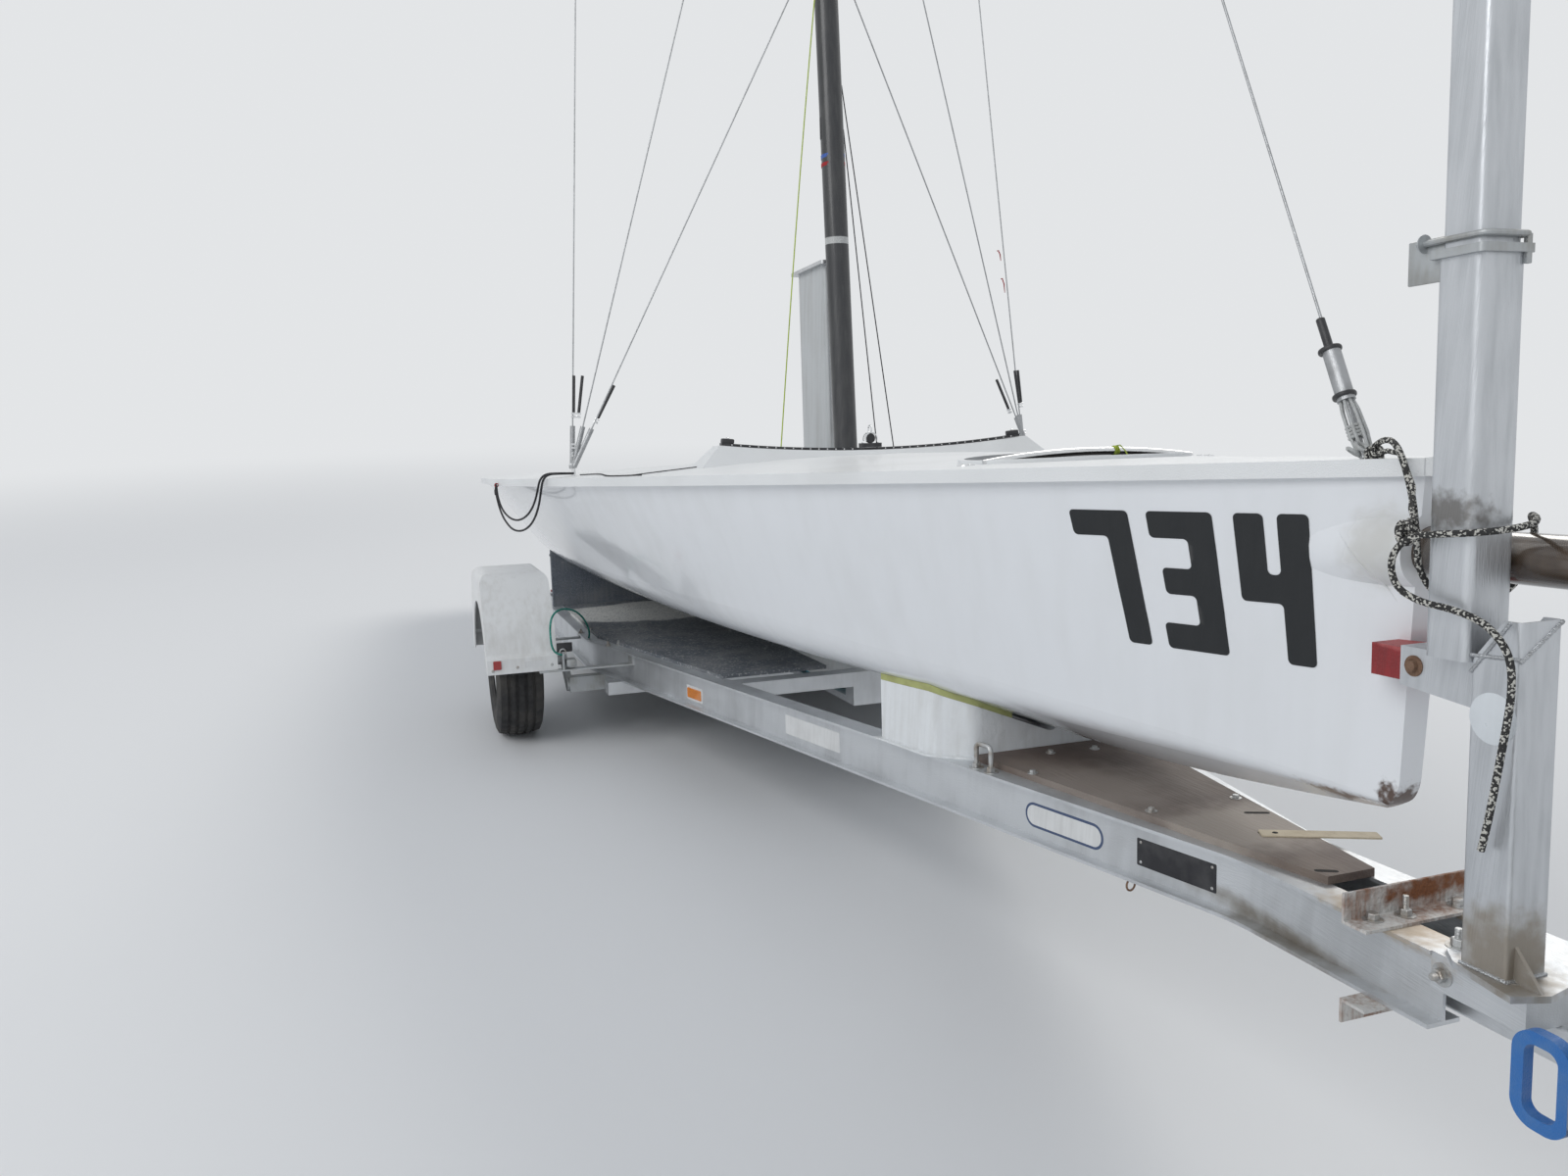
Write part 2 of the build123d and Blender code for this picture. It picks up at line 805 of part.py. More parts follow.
for side, name in ((-1, "starboard"), (1, "port")):
    keep(rail_part(side), f"rail_{name}")

# Nose box across the rail ends, and the drawbar through it
under_flange_z = rail_top_z - rail_flange_thickness
nose_box_x = rail_front_x + nose_box_length / 2
box_bottom_z = rail_top_z - nose_box_height
with BuildPart() as nose_box:
    with Locations((nose_box_x, 0, rail_top_z - nose_box_height / 2)):
        Box(nose_box_length, 2 * nose_box_half_width, nose_box_height)
keep(nose_box, "nose_box")

coupling_z = box_bottom_z - drawbar_height / 2
with BuildPart() as drawbar:
    with BuildSketch(Plane(origin=(drawbar_tail_x, 0, coupling_z), x_dir=(0, 1, 0), z_dir=(1, 0, 0))):
        RectangleRounded(drawbar_width, drawbar_height, 8)
    extrude(amount=drawbar_front_x - drawbar_tail_x)
keep(drawbar, "drawbar")

# Steel angles bolted across the rails, one standing on top and one hanging below
rail_bottom_z = rail_top_z - rail_height
with BuildPart() as nose_angles:
    for foot_z, up, leg in ((rail_top_z, 1, angle_leg), (rail_bottom_z, -1, lower_angle_drop)):
        angle_corner = (angle_rear_x, angle_y_high, foot_z)
        with BuildSketch(Plane(origin=angle_corner, x_dir=(1, 0, 0), z_dir=(0, -1, 0))):
            with BuildLine():
                Polyline(
                    (0, 0),
                    (angle_leg, 0),
                    (angle_leg, up * angle_thickness),
                    (angle_thickness, up * angle_thickness),
                    (angle_thickness, up * leg),
                    (0, up * leg),
                    close=True,
                )
            make_face()
        extrude(amount=angle_y_high - angle_y_low)
keep(nose_angles, "nose_angles")

# Coupling head with its ball socket and latch lever
ball_x = drawbar_front_x + coupling_length - ball_from_end
coupling_tail = 2 * ball_from_end
latch_pivot = (ball_x - 60, box_bottom_z + coupling_height)
with BuildPart() as coupling:
    with BuildSketch(Plane.XY.offset(box_bottom_z)):
        with Locations((drawbar_front_x + coupling_length / 2 - ball_from_end, 0)):
            RectangleRounded(coupling_length + coupling_tail, drawbar_width, 30)
    extrude(amount=coupling_height)
    fillet(coupling.faces().sort_by(Axis.Z)[-1].edges(), radius=10)
    with BuildSketch(Plane.XY.offset(box_bottom_z - cup_drop)):
        with Locations((ball_x, 0)):
            Circle(cup_radius)
    extrude(amount=cup_drop + 8)
    with BuildSketch(Plane.XY.offset(box_bottom_z - cup_drop)):
        with Locations((ball_x, 0)):
            Circle(ball_radius)
    extrude(amount=40, mode=Mode.SUBTRACT)
    with BuildSketch(Plane.XZ.offset(-latch_width / 2)):
        with BuildLine():
            FilletPolyline(
                (latch_pivot[0] + 30, latch_pivot[1] - 4),
                (latch_pivot[0], latch_pivot[1] + 26),
                (latch_pivot[0] - 120, latch_pivot[1] + 44),
                (latch_pivot[0] - 120, latch_pivot[1] + 44 - latch_thickness),
                (latch_pivot[0] - 20, latch_pivot[1] + 16),
                (latch_pivot[0] - 30, latch_pivot[1] - 4),
                radius=4,
            )
            Line((latch_pivot[0] - 30, latch_pivot[1] - 4), (latch_pivot[0] + 30, latch_pivot[1] - 4))
        make_face()
    extrude(amount=latch_width)
keep(coupling, "coupling")


def rail_y(x):
    """Distance of a rail's middle from the centreline at x."""
    if x <= rail_bend_x:
        return rail_rear_y
    share = min(1.0, (x - rail_bend_x) / (rail_meet_x - rail_bend_x))
    return rail_rear_y + share * (rail_front_y - rail_rear_y)


# Cross beams: three between the webs and one below
with BuildPart() as crossbeams:
    for x in (front_beam_x, cradle_x, rear_beam_x):
        reach = rail_y(x + beam_width / 2) - rail_web / 2 - 8
        with Locations((x, 0, under_flange_z - beam_height / 2)):
            Box(beam_width, 2 * reach, beam_height)
    with Locations((low_beam_x, 0, rail_bottom_z - beam_height / 2)):
        Box(beam_width, 2 * (rail_y(low_beam_x) + rail_flange / 2 + low_beam_overhang), beam_height)
keep(crossbeams, "crossbeams")

# Plank under the bulb, hollowed to it, from the low beam to a packer under the front beam
with BuildPart() as keel_bed:
    bed_rear_x = low_beam_x - beam_width / 2
    bed_front_x = front_beam_x + beam_width / 2
    bed_top_z = bulb_z - bulb_radius + bed_hollow
    front_beam_bottom_z = under_flange_z - beam_height
    with Locations(((bed_rear_x + bed_front_x) / 2, 0, (rail_bottom_z + bed_top_z) / 2)):
        Box(bed_front_x - bed_rear_x, bed_width, bed_top_z - rail_bottom_z)
    with Locations((front_beam_x, 0, (bed_top_z + front_beam_bottom_z) / 2)):
        Box(beam_width, bed_width, front_beam_bottom_z - bed_top_z)
    add(keel_bulb.part, mode=Mode.SUBTRACT)
keep(keel_bed, "keel_bed")

# Floor panels on the rails, with a slot for the bulb
with BuildPart() as trailer_floor:
    with BuildSketch(Plane.XY.offset(rail_top_z)):
        with BuildLine():
            rear = rail_y(floor_rear_x) - floor_inset
            bend = rail_y(rail_bend_x) - floor_inset
            front = rail_y(floor_front_x) - floor_inset
            Polyline(
                (floor_rear_x, -rear),
                (rail_bend_x, -bend),
                (floor_front_x, -front),
                (floor_front_x, front),
                (rail_bend_x, bend),
                (floor_rear_x, rear),
                close=True,
            )
        make_face()
        with Locations(((fin_x - 500 + floor_front_x) / 2, 0)):
            Rectangle(floor_front_x - fin_x + 500 + 200, 2 * floor_slot_half_width, mode=Mode.SUBTRACT)
    extrude(amount=floor_thickness)
keep(trailer_floor, "trailer_floor")

ply_rear_x = chock_front_x + chock_flange + ply_gap
with BuildPart() as front_ply:
    with BuildSketch(Plane.XY.offset(rail_top_z)):
        with BuildLine():
            rear = rail_y(ply_rear_x) - ply_inset
            front = rail_y(ply_front_x) - ply_inset
            Polyline(
                (ply_rear_x, -rear),
                (ply_front_x, -front),
                (ply_front_x, front),
                (ply_rear_x, rear),
                close=True,
            )
        make_face()
    extrude(amount=ply_thickness)
keep(front_ply, "front_ply")

# Torsion axle: a square beam, two arms and two stubs
axle_beam_z = rail_bottom_z - axle_beam / 2
wheel_y = track_width_wheels / 2
stub_end_y = wheel_y + stub_reach
with BuildPart() as axle:
    with Locations((axle_beam_x, 0, axle_beam_z)):
        Box(axle_beam, 2 * arm_y, axle_beam)
    for side in (-1, 1):
        arm_origin = (0, side * (arm_y - arm_thickness / 2), 0)
        arm_plane = Plane(origin=arm_origin, x_dir=(1, 0, 0), z_dir=(0, side, 0))
        turn = atan2(axle_beam_z, axle_beam_x)
        flip = -side
        arm_length = hypot(axle_beam_x, axle_beam_z)
        with BuildSketch(arm_plane):
            with Locations((axle_beam_x / 2, flip * axle_beam_z / 2)):
                SlotCenterToCenter(arm_length, arm_height, rotation=flip * degrees(turn))
        extrude(amount=arm_thickness)
        with BuildSketch(arm_plane):
            Circle(stub_radius)
        extrude(amount=stub_end_y - arm_y + arm_thickness / 2)
keep(axle, "axle")

# Road wheels
for side, name in ((-1, "starboard"), (1, "port")):
    wheel_plane = Plane(origin=(0, side * wheel_y, 0), x_dir=(1, 0, 0), z_dir=(0, side, 0))
    wheel_axis = Axis((0, side * wheel_y, 0), (0, 1, 0))
    ring_plane = Plane(origin=(0, side * wheel_y, 0), x_dir=(0, 1, 0), z_dir=(1, 0, 0))
    bore = stub_radius + running_gap
    # Rim section: outwards from the wheel's middle, radius
    rim_section = (
        (-rim_width / 2, rim_radius),
        (rim_width / 2, rim_radius),
        (rim_width / 2, rim_radius - rim_lip),
        (disc_outer_y, rim_radius - rim_step),
        (disc_outer_y, bore),
        (disc_outer_y - disc_thickness, bore),
        (disc_outer_y - disc_thickness, rim_radius - rim_step),
        (-rim_width / 2, rim_radius - rim_lip),
    )
    with BuildPart() as rim:
        with BuildSketch(ring_plane):
            with BuildLine():
                Polyline(*[(side * out, radius) for out, radius in rim_section], close=True)
            make_face()
        revolve(axis=wheel_axis)
        with BuildSketch(wheel_plane):
            with PolarLocations(rim_hole_circle, rim_hole_count):
                Circle(rim_hole_radius)
        extrude(amount=disc_outer_y + disc_thickness, mode=Mode.SUBTRACT)
        with BuildSketch(wheel_plane.offset(disc_outer_y)):
            Circle(hub_cap_radius)
            Circle(bore, mode=Mode.SUBTRACT)
        extrude(amount=hub_cap_length)
    keep(rim, f"rim_{name}")
    sidewall = wheel_radius - rim_radius
    # Tyre section, one side: outwards from the middle, radius
    tyre_section = (
        (tyre_width * 0.30, wheel_radius),
        (tyre_width * 0.40, wheel_radius - sidewall * 0.06),
        (tyre_width * 0.475, wheel_radius - sidewall * 0.25),
        (tyre_width * 0.50, wheel_radius - sidewall * 0.50),
        (tyre_width * 0.46, wheel_radius - sidewall * 0.80),
        (rim_width / 2 - 2, rim_radius + seat_gap),
    )
    with BuildPart() as tyre:
        with BuildSketch(ring_plane):
            with BuildLine():
                mirrored = [(-out, radius) for out, radius in reversed(tyre_section)]
                Polyline(*tyre_section, *mirrored, close=True)
            make_face()
        revolve(axis=wheel_axis)
    keep(tyre, f"tyre_{name}")

# Mudguards: a box with rounded edges and a lip round its foot, open inside and below
def guard_shell(side, shrink):
    """The mudguard's outside, or with shrink the hollow that its wall leaves."""
    inner_y = side * (wheel_y - guard_width / 2)
    up = -side
    foot_z = guard_foot_z - shrink
    # Half of the arch: x, z
    arch = (
        (guard_foot_x - shrink, foot_z),
        (guard_foot_x - shrink, guard_foot_z + guard_lip_height - guard_lip_reach),
        (guard_foot_x - guard_lip_reach - shrink, guard_foot_z + guard_lip_height),
        (guard_shoulder_x - shrink, guard_shoulder_z),
        (guard_top_x - shrink / 2, guard_top_z - shrink),
    )
    front = [(x, up * z) for x, z in arch]
    rear = [(-x, up * z) for x, z in reversed(arch)]
    with BuildPart() as shell:
        with BuildSketch(Plane(origin=(0, inner_y - side, 0), x_dir=(1, 0, 0), z_dir=(0, side, 0))):
            with BuildLine():
                FilletPolyline(*front, *rear, radius=[6, 6, 120, 110, 110, 120, 6, 6])
                Line(rear[-1], front[0])
            make_face()
        extrude(amount=guard_width + 2)
        with BuildSketch(section_plane(-guard_foot_x - 1)):
            with Locations((side * wheel_y, guard_top_z - guard_width)):
                width = guard_width - 2 * shrink
                RectangleRounded(width, 2 * guard_width - 2 * shrink, guard_edge_round - shrink)
            if shrink:
                with Locations((inner_y, guard_top_z - guard_width - guard_edge_round)):
                    Rectangle(4 * guard_wall, 2 * guard_width - guard_edge_round)
        extrude(amount=2 * guard_foot_x + 2, mode=Mode.INTERSECT)
    return shell.part


for side, name in ((-1, "starboard"), (1, "port")):
    outer_y = side * (wheel_y + guard_width / 2)
    with BuildPart() as guard:
        add(guard_shell(side, 0.0))
        add(guard_shell(side, guard_wall), mode=Mode.SUBTRACT)
        with BuildSketch(Plane(origin=(0, outer_y + side, 0), x_dir=(1, 0, 0), z_dir=(0, -side, 0))):
            with Locations((0, -side * guard_arch_drop)):
                Circle(wheel_radius + guard_arch_clearance)
        extrude(amount=guard_wall + 6, mode=Mode.SUBTRACT)
    keep(guard, f"mudguard_{name}")

# Brackets from the rails' webs to the mudguards' feet, the front ones with a lug for a shackle
rail_turn = atan2(rail_rear_y - rail_front_y, rail_meet_x - rail_bend_x)


def web_face_y(x):
    """Distance from the centreline of a rail web's outer face at x."""
    lean = rail_turn if x > rail_bend_x else 0.0
    return rail_y(x) + rail_web / 2 / cos(lean) + running_gap


with BuildPart() as guard_brackets:
    for side in (-1, 1):
        for x in (-guard_foot_x, guard_foot_x):
            rear_x = x - bracket_width / 2
            front_x = x + bracket_width / 2
            end_y = wheel_y - guard_width / 2 + bracket_reach
            # Flat strap and the tab on the web: reach at the rear, at the front, low z, height
            plates = (
                (end_y, end_y, guard_foot_z - bracket_thickness, bracket_thickness),
                (
                    web_face_y(rear_x) + bracket_thickness,
                    web_face_y(front_x) + bracket_thickness,
                    guard_foot_z,
                    bracket_rise,
                ),
            )
            for rear_reach, front_reach, low, height in plates:
                with BuildSketch(Plane.XY.offset(low)):
                    with BuildLine():
                        Polyline(
                            (rear_x, side * web_face_y(rear_x)),
                            (front_x, side * web_face_y(front_x)),
                            (front_x, side * front_reach),
                            (rear_x, side * rear_reach),
                            close=True,
                        )
                    make_face()
                extrude(amount=height)
        with Locations((guard_foot_x, side * lug_y, guard_foot_z + lug_height / 2)):
            Box(bracket_width, bracket_thickness, lug_height)
keep(guard_brackets, "guard_brackets")

# Tail lamps on the rear beam
lamp_x = rear_beam_x - beam_width / 2 - lamp_thickness / 2
lamp_y = rail_rear_y - rail_flange - lamp_width / 2
with BuildPart() as tail_lamps:
    for side in (-1, 1):
        with Locations((lamp_x, side * lamp_y, under_flange_z - beam_height / 2)):
            Box(lamp_thickness, lamp_width, lamp_height)
keep(tail_lamps, "tail_lamps")

# Gudgeons for the rudder's pins
with BuildPart() as gudgeons:
    for height in gudgeon_heights:
        with BuildSketch(Plane.XY.offset(height)):
            with Locations((transom_x - gudgeon_plate_thickness / 2, 0)):
                Rectangle(gudgeon_plate_thickness, gudgeon_plate_width)
            with Locations((transom_x - gudgeon_reach / 2, 0)):
                Rectangle(gudgeon_reach, 2 * gudgeon_outer_radius)
            with Locations((transom_x - gudgeon_reach, 0)):
                Circle(gudgeon_outer_radius)
                Circle(gudgeon_pin_radius, mode=Mode.SUBTRACT)
        extrude(amount=gudgeon_height)
keep(gudgeons, "gudgeons")


# Front chock, a fibreglass moulding on the rails, with foam pads along its top
def chock_block(grow, height):
    """The chock's outline with rounded front corners, raised from the rails."""
    with BuildPart() as block:
        with BuildSketch(Plane.XY.offset(rail_top_z)):
            with BuildLine():
                FilletPolyline(
                    (chock_rear_x - grow, -chock_rear_half - grow),
                    (chock_corner_x, -chock_corner_half - grow),
                    (chock_front_x + grow, -chock_front_half - grow / 2),
                    (chock_front_x + grow, chock_front_half + grow / 2),
                    (chock_corner_x, chock_corner_half + grow),
                    (chock_rear_x - grow, chock_rear_half + grow),
                    radius=chock_corner_round,
                )
                Line(
                    (chock_rear_x - grow, chock_rear_half + grow),
                    (chock_rear_x - grow, -chock_rear_half - grow),
                )
            make_face()
        extrude(amount=height)
    return block.part


with BuildPart() as front_chock:
    add(chock_block(0.0, chock_height))
    add(chock_block(chock_flange, chock_flange_thickness))
    add(hull_loft(pad_thickness), mode=Mode.SUBTRACT)
keep(front_chock, "front_chock")

with BuildPart() as chock_pads:
    add(chock_block(0.0, chock_height))
    add(hull_loft(pad_thickness - seat_gap), mode=Mode.INTERSECT)
    add(hull_loft(seat_gap), mode=Mode.SUBTRACT)
    with BuildSketch(Plane.XY):
        with Locations(((chock_rear_x + chock_front_x) / 2, 0)):
            Rectangle(chock_front_x, 2 * pad_inner_y)
    extrude(amount=2 * chock_rear_half, mode=Mode.SUBTRACT)
keep(chock_pads, "chock_pads")

# Rear cradle, a carpeted board across the trailer
with BuildPart() as rear_cradle:
    with Locations((cradle_x, 0, rail_top_z + cradle_height / 2)):
        Box(cradle_thickness, 2 * cradle_half_width, cradle_height)
    add(hull_loft(seat_gap), mode=Mode.SUBTRACT)
keep(rear_cradle, "rear_cradle")

# Bow post: lower tube on its plate, stop arm, upper tube, and a sliding inner tube with a mast crutch
plate_z = rail_top_z
post_foot_z = plate_z + plate_thickness
post_back_x = lower_post_x - post_side / 2
post_front_x = lower_post_x + post_side / 2
arm_top_z = stop_arm_z + stop_arm_height / 2
with BuildPart() as lower_post:
    with BuildSketch(Plane.XY.offset(plate_z)):
        with BuildLine():
            Polyline(*plate_outline, close=True)
        make_face()
    extrude(amount=plate_thickness)
    with BuildSketch(Plane.XY.offset(post_foot_z)):
        with Locations((lower_post_x, post_y)):
            RectangleRounded(post_side, post_side, 6)
            Rectangle(post_side - 2 * post_wall, post_side - 2 * post_wall, mode=Mode.SUBTRACT)
    extrude(amount=lower_post_top_z - post_foot_z)
    # The gusset on the plate's ear
    with BuildSketch(Plane(origin=(0, gusset_y, 0), x_dir=(1, 0, 0), z_dir=(0, -1, 0))):
        with BuildLine():
            Polyline(
                (post_front_x - 1, post_foot_z),
                (post_front_x + gusset_reach, post_foot_z),
                (post_front_x - 1, post_foot_z + gusset_height),
                close=True,
            )
        make_face()
    extrude(amount=gusset_thickness)
    # The top's aft corner is mitred down to the stop arm
    with BuildSketch(Plane.XZ):
        with BuildLine():
            Polyline(
                (post_back_x - 1, arm_top_z),
                (post_back_x + post_mitre_depth, lower_post_top_z + 1),
                (post_back_x - 1, lower_post_top_z + 1),
                close=True,
            )
        make_face()
    extrude(amount=-2 * post_y, both=True, mode=Mode.SUBTRACT)
keep(lower_post, "lower_post")

arm_back_x = stem_x + stop_block_reach
arm_low_z = stop_arm_z - stop_arm_height / 2
arm_plane = Plane(origin=(0, post_y + 20 + stop_arm_width / 2, 0), x_dir=(1, 0, 0), z_dir=(0, -1, 0))
with BuildPart() as stop_arm:
    with BuildSketch(arm_plane):
        with BuildLine():
            Polyline(
                (arm_back_x, arm_low_z),
                (post_back_x, arm_low_z - stop_arm_taper),
                (post_back_x, arm_top_z),
                (arm_back_x, arm_top_z),
                close=True,
            )
        make_face()
    extrude(amount=stop_arm_width)
keep(stop_arm, "stop_arm")

with BuildPart() as bow_stop:
    with Locations((arm_back_x - stop_block_length / 2, stop_block_y, stop_arm_z)):
        Box(stop_block_length, stop_block_width, stop_block_height)
    add(hull_loft(seat_gap), mode=Mode.SUBTRACT)
keep(bow_stop, "bow_stop")

upper_post_x = post_back_x - upper_post_depth / 2
upper_post_y = -sprit_radius - sprit_clearance - upper_post_width / 2
bore_depth = upper_post_depth - 2 * post_wall
bore_width = upper_post_width - 2 * post_wall
inner_depth = bore_depth - 2 * slide_gap
inner_width = bore_width - 2 * slide_gap
bore_round = post_round - post_wall
with BuildPart() as upper_post:
    with BuildSketch(Plane.XY.offset(arm_top_z)):
        with Locations((upper_post_x, upper_post_y)):
            RectangleRounded(upper_post_depth, upper_post_width, post_round)
            RectangleRounded(bore_depth, bore_width, bore_round, mode=Mode.SUBTRACT)
    extrude(amount=upper_post_top_z - arm_top_z)
keep(upper_post, "upper_post")

with BuildPart() as inner_post:
    with BuildSketch(Plane.XY.offset(inner_bottom_z)):
        with Locations((upper_post_x, upper_post_y)):
            RectangleRounded(inner_depth, inner_width, bore_round)
            Rectangle(inner_depth - 2 * bore_round, inner_width - 2 * bore_round, mode=Mode.SUBTRACT)
    extrude(amount=inner_top_z - inner_bottom_z)
keep(inner_post, "inner_post")

crutch_origin = (upper_post_x - crutch_depth / 2, upper_post_y, inner_top_z)
with BuildPart() as mast_crutch:
    with BuildSketch(Plane(origin=crutch_origin, x_dir=(0, 1, 0), z_dir=(1, 0, 0))):
        with Locations((0, crutch_height / 2)):
            RectangleRounded(crutch_width, crutch_height, 12)
        with Locations((0, crutch_height - crutch_throat / 2 + 20)):
            Rectangle(crutch_throat, crutch_throat + 40, mode=Mode.SUBTRACT)
        with Locations((0, crutch_height - crutch_throat)):
            Circle(crutch_throat / 2, mode=Mode.SUBTRACT)
    extrude(amount=crutch_depth)
keep(mast_crutch, "mast_crutch")

with BuildPart() as post_clamp:
    with BuildSketch(Plane.XY.offset(upper_post_top_z)):
        with Locations((upper_post_x, upper_post_y)):
            grow = 2 * sprit_clearance
            RectangleRounded(upper_post_depth + grow, upper_post_width + grow, 6)
            RectangleRounded(bore_depth, bore_width, bore_round, mode=Mode.SUBTRACT)
    extrude(amount=post_round)
keep(post_clamp, "post_clamp")

# Jockey wheel: outer tube in a clamp on the drawbar, sliding leg, swivelling fork and wheel
tilt = radians(nose_up)
jockey_axle_x = jockey_x - jockey_trail
jockey_axle_z = (jockey_wheel_radius - wheel_radius - jockey_axle_x * sin(tilt)) / cos(tilt)
fork_top_z = jockey_axle_z + jockey_wheel_radius + fork_rise
clamp_radius = jockey_outer_radius + clamp_wall
clamp_reach = -jockey_y - drawbar_width / 2
with BuildPart() as jockey_clamp:
    with BuildSketch(Plane.XY.offset(coupling_z - drawbar_height / 2)):
        with Locations((jockey_x, (jockey_y - drawbar_width / 2) / 2)):
            Rectangle(clamp_neck, clamp_reach)
        with Locations((jockey_x, jockey_y)):
            Circle(clamp_radius)
            Circle(jockey_outer_radius + running_gap, mode=Mode.SUBTRACT)
    extrude(amount=drawbar_height)
keep(jockey_clamp, "jockey_clamp")

# Clamp's lever, a D-shaped grip against the clamp's ring
grip_x = jockey_x - clamp_radius + clamp_wall - handle_reach / 2
grip_plane = Plane(origin=(grip_x, handle_y - handle_bar / 2, handle_z), x_dir=(1, 0, 0), z_dir=(0, 1, 0))
with BuildPart() as jockey_handle:
    with BuildSketch(grip_plane):
        RectangleRounded(handle_reach, handle_height, handle_round)
        RectangleRounded(
            handle_reach - 2 * handle_bar,
            handle_height - 2 * handle_bar,
            handle_round - handle_bar,
            mode=Mode.SUBTRACT,
        )
    extrude(amount=handle_bar)
    with BuildSketch(Plane.XY.offset(handle_z - handle_height)):
        with Locations((jockey_x, jockey_y)):
            Circle(clamp_radius)
    extrude(amount=2 * handle_height, mode=Mode.SUBTRACT)
keep(jockey_handle, "jockey_handle")

with BuildPart() as jockey_tube:
    with BuildSketch(Plane.XY.offset(jockey_top_z - jockey_outer_length)):
        with Locations((jockey_x, jockey_y)):
            Circle(jockey_outer_radius)
            Circle(jockey_inner_radius + slide_gap, mode=Mode.SUBTRACT)
    extrude(amount=jockey_outer_length)
    with BuildSketch(Plane.XY.offset(jockey_top_z)):
        with Locations((jockey_x, jockey_y)):
            Circle(jockey_outer_radius)
    extrude(amount=jockey_cap_height)
    with BuildSketch(Plane.XY.offset(jockey_top_z + jockey_cap_height)):
        with Locations((jockey_x, jockey_y)):
            Circle(jockey_stud_radius)
    extrude(amount=jockey_stud_height)
keep(jockey_tube, "jockey_tube")

with BuildPart() as jockey_leg:
    with BuildSketch(Plane.XY.offset(fork_top_z)):
        with Locations((jockey_x, jockey_y)):
            Circle(jockey_inner_radius)
    extrude(amount=jockey_leg_length)
    with BuildSketch(Plane.XY.offset(fork_top_z)):
        with Locations((jockey_x, jockey_y)):
            Circle(swivel_radius + running_gap)
    extrude(amount=swivel_length + 1, mode=Mode.SUBTRACT)
keep(jockey_leg, "jockey_leg")

fork_plate_z = fork_top_z - fork_plate - seat_gap
cheek_top = jockey_axle_z - fork_plate_z
axle_half = jockey_wheel_width / 2 + fork_clearance + fork_cheek / 2
axle_origin = (jockey_axle_x, jockey_y - axle_half, jockey_axle_z)
with BuildPart() as jockey_fork:
    with BuildSketch(Plane.XY.offset(fork_plate_z)):
        with Locations((jockey_x - jockey_trail / 2, jockey_y)):
            RectangleRounded(fork_length + jockey_trail, 2 * axle_half, 10)
    extrude(amount=fork_plate)
    with BuildSketch(Plane.XY.offset(fork_plate_z + fork_plate)):
        with Locations((jockey_x, jockey_y)):
            Circle(swivel_radius)
    extrude(amount=swivel_length)
    for side in (-1, 1):
        cheek_y = jockey_y + side * (axle_half - fork_cheek / 2)
        cheek_origin = (jockey_axle_x, cheek_y - fork_cheek / 2, jockey_axle_z)
        with BuildSketch(Plane(origin=cheek_origin, x_dir=(1, 0, 0), z_dir=(0, 1, 0))):
            with BuildLine():
                Polyline(
                    (-fork_half_width, 0),
                    (-fork_half_width, -fork_shoulder),
                    (fork_top_rear, cheek_top),
                    (fork_top_front, cheek_top),
                    (fork_half_width, -fork_shoulder),
                    (fork_half_width, 0),
                )
                ThreePointArc((fork_half_width, 0), (0, fork_half_width), (-fork_half_width, 0))
            make_face()
        extrude(amount=fork_cheek)
    with BuildSketch(Plane(origin=axle_origin, z_dir=(0, 1, 0))):
        Circle(jockey_axle_radius)
    extrude(amount=2 * axle_half)
keep(jockey_fork, "jockey_fork")

jockey_axle = (jockey_axle_x, jockey_y, jockey_axle_z)
half = jockey_wheel_width / 2
axle_bore = jockey_axle_radius + running_gap
with BuildPart() as jockey_wheel:
    with BuildSketch(Plane(origin=jockey_axle, x_dir=(0, 1, 0), z_dir=(1, 0, 0))):
        with BuildLine():
            Polyline(
                (-half, axle_bore),
                (half, axle_bore),
                (half, jockey_wheel_radius - wheel_shoulder),
                (half * 0.7, jockey_wheel_radius - wheel_shoulder * 0.35),
                (half * 0.3, jockey_wheel_radius),
                (-half * 0.3, jockey_wheel_radius),
                (-half * 0.7, jockey_wheel_radius - wheel_shoulder * 0.35),
                (-half, jockey_wheel_radius - wheel_shoulder),
                close=True,
            )
        make_face()
    revolve(axis=Axis(jockey_axle, (0, 1, 0)))
keep(jockey_wheel, "jockey_wheel")

# Slack cords: the painter round the post, a doubled line in a bight, and a short lashing
cords = (
    ("bow_rope", bow_rope_route, bow_rope_radius, ("deck",)),
    ("stern_rope", stern_rope_route, stern_rope_radius, ("chainplates",)),
    ("rail_cord", rail_cord_route, rail_cord_radius, ("guard_brackets", "rail_starboard")),
)
for name, route, radius, holders in cords:
    with BuildPart() as cord:
        add(cord_tube(route, radius))
        for holder in holders:
            add(pieces[holder], mode=Mode.SUBTRACT)
    keep(cord, name)

# As it parks: tilted nose up on its wheels, with the middle of its length over the origin
up_way = (-sin(tilt), 0, cos(tilt))
forward_way = (cos(tilt), 0, sin(tilt))
tilted = Plane(origin=(0, 0, wheel_radius), x_dir=forward_way, z_dir=up_way).location
standing = {label: part.moved(tilted) for label, part in pieces.items()}
low_x = min(part.bounding_box().min.X for part in standing.values())
high_x = max(part.bounding_box().max.X for part in standing.values())
for label, part in standing.items():
    placed = part.moved(Location((-(low_x + high_x) / 2, 0, 0)))
    placed.label = label
    export_step(placed, f"parts/{label}.step")
print("axle at x =", round(-(low_x + high_x) / 2, 3))
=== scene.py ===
"""Sport dinghy parked on its road trailer: finishes, ropes, fittings and small hardware.

Distances are in metres. Pieces are drawn in the trailer's own level frame, with x forward from
the axle, y to port and z up from the axle's centre, and LEVEL lays them into the parked, nose-up
frame of the model.
"""
import json
from math import cos, pi, radians, sin, tau

import bmesh
import bpy
from mathutils import Matrix, Vector
from mathutils.bvhtree import BVHTree


